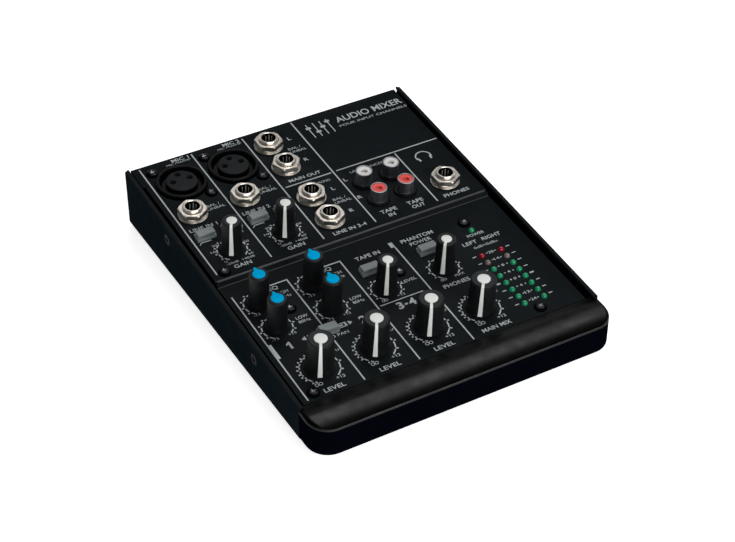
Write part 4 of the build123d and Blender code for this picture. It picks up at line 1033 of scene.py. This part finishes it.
def make_bumper():
    mesh = Mesh()
    depth = BUMPER_FRONT - ROLL_INSET - BUMPER_REAR
    rows = [BUMPER_REAR + 0.001 + depth * math.sin(math.pi / 2 * k / 44) for k in range(45)]
    mesh.rings(roll_rows(rows), closed=False)
    tongue = [TONGUE_REAR + (BUMPER_REAR + 0.3 - TONGUE_REAR) * k / 8 for k in range(9)]
    mesh.rings(roll_rows(tongue), closed=False)
    back = [(-TONGUE_X + 2 * TONGUE_X * k / 40, tongue[0]) for k in range(41)]
    for path in ([(-TONGUE_X, s) for s in tongue], [(TONGUE_X, s) for s in tongue], back):
        top = [(x, REAR_Y - s, roll_height(x, s)) for x, s in path]
        mesh.rings([top, [(x, y, TONGUE_FOOT) for x, y, _ in top]], closed=False)

    ledge = [(ROLL_INSET, -0.02), (ROLL_INSET - 0.1, -0.06), (0.32, -0.09), (0.14, -0.2)]
    ledge += [(0.03, -0.4), (0.0, -0.7)]
    wall = [(0.0, 9.0), (0.0, 3.6), (0.1, 3.0), (0.4, 2.5), (0.8, 2.2), (1.3, 2.1), (2.2, 2.1)]
    wall.append((2.2, TONGUE_FOOT))
    rings = [[(x, REAR_Y - s, ledge_height(s) + z) for x, s in bumper_outline(inset)] for inset, z in ledge]
    # the ledge edge takes the paler, glossier copy: a painted highlight line
    mesh.rings(rings, slot=2, closed=False)
    rings = rings[-1:] + [[(x, REAR_Y - s, z) for x, s in bumper_outline(inset)] for inset, z in wall]
    # the front wall takes the matt copy: painted shade
    mesh.rings(rings, slot=1, closed=False)

    rim = ledge_height(BUMPER_REAR)
    end = [(TONGUE_X, TONGUE_FOOT), (TONGUE_X, roll_height(TONGUE_X, BUMPER_REAR + 0.01)), (77.85, rim)]
    end += [(78.3, rim - 0.12), (HALF_WIDTH, rim - 0.7), (HALF_WIDTH, 3.6), (78.1, 2.5), (77.2, 2.1)]
    end += [(76.3, 2.1), (76.3, TONGUE_FOOT)]
    # the end faces take the matt copy too: painted shade
    for side in (-1, 1):
        mesh.add([(side * x, REAR_Y - BUMPER_REAR, z) for x, z in end], [range(len(end))], slot=1)
    mesh.finish("bumper_moulding", [ROLL, WALL_PAINTED_SHADE, LEDGE_PAINTED_HIGHLIGHT], "bumper_plastic", ["front_bumper"], sharp=50)


# ---- carried-over nodes ----
def dress_frame():
    for material, nodes in (
        (SIDE_POWDER, ("bottom_pan", "left_side_panel", "right_side_panel")),
        (BOARD, ("circuit_boards",)),
        (CHIP, ("board_components", "switch_bodies")),
        (STEEL, ("board_spacers", "pot_bodies")),
        (RUBBER, ("rubber_feet",)),
        (SWITCH, ("power_switch_housing", "power_rocker", "power_inlet")),
    ):
        for node in nodes:
            use_material(node, material)
    pan = frame["nodes"]["bottom_pan"].data
    pan.materials.append(BLACK_AND_PAINTED_SHADE)
    # the pan's upper side walls, seen down the grooves, take near black: painted shade
    for face in pan.polygons:
        if abs(face.center.x) > 74 * MM and face.center.z > (FOOT + 8) * MM and abs(face.normal.y) < 0.5:
            face.material_index = 1
    for side, node in ((-1, "left_side_panel"), (1, "right_side_panel")):
        plate = frame["nodes"][node].data
        plate.materials.append(RIM_PAINTED_LIGHT)
        plate.materials.append(BLACK_AND_PAINTED_SHADE)
        # upward faces take the lighter coat, painted light on the tops; inward faces take near black, painted
        # shade beside the deck
        for face in plate.polygons:
            if face.normal.z > 0.5:
                face.material_index = 1
            elif face.normal.x * side < -0.5:
                face.material_index = 2


# ---- deck with its side grooves ----
GROOVE_X = 74.1
GROOVE_START = 15.0
REAR_GROOVE_X = 75.2
LIP, LIP_DEPTH, EDGE_GAP = 0.9, 6.0, 0.02
PANEL_X, FLANGE_X, FLANGE_DEPTH = 77.0, 76.3, 1.2
PANEL_TOP, PANEL_SLOPE = 31.3, 0.071


def groove_limit(y):
    """Half the sheet's width: the groove beside it is narrower near the rear."""
    return GROOVE_X if y < REAR_Y - GROOVE_START else REAR_GROOVE_X


def add_sheet(mesh):
    """The deck panel's own mesh, cut off at the grooves."""
    sheet = bmesh.new()
    sheet.from_mesh(frame["nodes"]["top_panel"].data)
    cuts = [((side * x * MM, 0, 0), (side, 0, 0)) for side in (-1, 1) for x in (GROOVE_X, REAR_GROOVE_X)]
    cuts.append(((0, (REAR_Y - GROOVE_START) * MM, 0), (0, 1, 0)))
    for point, normal in cuts:
        everything = sheet.verts[:] + sheet.edges[:] + sheet.faces[:]
        bmesh.ops.bisect_plane(sheet, geom=everything, dist=1e-8, plane_co=point, plane_no=normal)
    for face in sheet.faces:
        middle = face.calc_center_median() / MM
        if abs(middle.x) <= groove_limit(middle.y):
            # faces on the bends take the glossier copy: painted sheen on the folds
            on_fold_sheen = -0.7 < face.normal.y < -0.1 and face.normal.z > 0.5
            mesh.add([v.co / MM for v in face.verts], [range(len(face.verts))], slot=1 if on_fold_sheen else 0)
    sheet.free()


def make_deck():
    """The deck's sheet, set in from the side panels by a groove that narrows at the rear corners."""
    mesh = Mesh()
    add_sheet(mesh)
    step_start = GROOVE_START - 0.8
    front_run = (step_start, GROOVE_START, RAMP_START, RAMP_END, 178.8)
    rear_run = (1.5, GROOVE_START - 0.5)
    # lips and steps down into the grooves take near black: painted shade in the grooves
    for side in (-1, 1):
        for x, run in ((GROOVE_X, front_run), (REAR_GROOVE_X, rear_run)):
            section = ((x, EDGE_GAP), (x, LIP_DEPTH), (x - LIP, LIP_DEPTH), (x - LIP, EDGE_GAP))
            lip = [[(side * px, REAR_Y - s, deck_z(s) - drop) for px, drop in section] for s in run]
            mesh.rings(lip, slot=2, caps=(0, -1))
        step = ((GROOVE_X, step_start), (REAR_GROOVE_X, step_start))
        step += ((REAR_GROOVE_X, GROOVE_START), (GROOVE_X, GROOVE_START))
        levels = (deck_z(GROOVE_START) - 9, deck_z(GROOVE_START) - EDGE_GAP)
        mesh.rings([[(side * x, REAR_Y - s, z) for x, s in step] for z in levels], slot=2, caps=(0, -1))
    mesh.finish("deck_sheet", [POWDER, FOLD_PAINTED_SHEEN, BLACK_AND_PAINTED_SHADE], "deck_paint", ["top_panel"], sharp=1)


def make_flanges():
    """Narrow flange along each side panel's top edge."""
    section = [(PANEL_X, 0), (FLANGE_X + 0.2, 0), (FLANGE_X, 0.2)]
    section += [(FLANGE_X, FLANGE_DEPTH), (PANEL_X, FLANGE_DEPTH)]
    flanges = Mesh()
    for side in (-1, 1):
        ends = []
        for setback in (0.3, 181.8):
            top = FOOT + PANEL_TOP - PANEL_SLOPE * setback
            ends.append([(side * x, REAR_Y - setback, top - drop) for x, drop in section])
        flanges.rings(ends, caps=(0, -1))
    # the flanges take the lighter coat: painted light along the top edges
    flanges.finish("side_panel_flanges", [RIM_PAINTED_LIGHT], "deck_paint", sharp=10)


# ---- stage, light and camera ----
def area_light(name, at, size, power):
    """Rectangle of light that faces the origin."""
    data = bpy.data.lights.new(name, "AREA")
    data.shape = "RECTANGLE"
    data.size, data.size_y = size
    data.energy = power
    obj = new_object(name, data)
    obj.location = at
    obj.rotation_mode = "QUATERNION"
    obj.rotation_quaternion = (-Vector(at)).to_track_quat("-Z", "Y")


def make_stage():
    data = bpy.data.meshes.new("floor")
    reach, level = 6.0, -0.0002
    corners = [(x * reach, y * reach, level) for x, y in ((-1, -1), (1, -1), (1, 1), (-1, 1))]
    data.from_pydata(corners, [], [(0, 1, 2, 3)])
    data.materials.append(FLOOR)
    floor = new_object("floor", data)

    world = bpy.data.worlds.new("studio")
    bpy.context.scene.world = world
    world.use_nodes = True
    tree = world.node_tree
    coords = tree.nodes.new("ShaderNodeTexCoord")
    split = tree.nodes.new("ShaderNodeSeparateXYZ")
    ramp = tree.nodes.new("ShaderNodeValToRGB")
    tree.links.new(coords.outputs["Generated"], split.inputs[0])
    tree.links.new(split.outputs["Z"], ramp.inputs["Fac"])
    tree.links.new(ramp.outputs["Color"], tree.nodes["Background"].inputs["Color"])
    for element, (position, grey) in zip(ramp.color_ramp.elements, ((0.1, 0.6), (0.45, 0.04))):
        element.position = position
        element.color = (grey, grey, grey, 1)

    area_light("overhead", (0.5, 0.4, 1.5), (1.3, 0.75), 16)
    area_light("front_fill", (-0.05, -1.7, 1.0), (2.2, 0.6), 31)

    camera_data = bpy.data.cameras.new("camera")
    camera = new_object("camera", camera_data)
    camera_data.sensor_width = 36.0
    camera_data.lens = 90.69
    camera_data.clip_start = 0.01
    right = Vector((0.868670, -0.495387, 0.002082))
    up = Vector((0.306476, 0.540704, 0.783397))
    back = Vector((-0.389211, -0.679876, 0.621518))
    turn = Matrix((right, up, back)).transposed()
    camera.rotation_mode = "QUATERNION"
    camera.rotation_quaternion = turn.to_quaternion()
    camera.location = (-0.344506, -0.607465, 0.561645)
    bpy.context.scene.camera = camera
    bpy.context.scene.view_settings.view_transform = "Standard"


make_stage()
dress_frame()
make_deck()
make_flanges()
make_knobs()
make_buttons()
make_jacks()
make_xlr()
make_rca()
make_lamps()
make_screws()
make_print()
make_bumper()
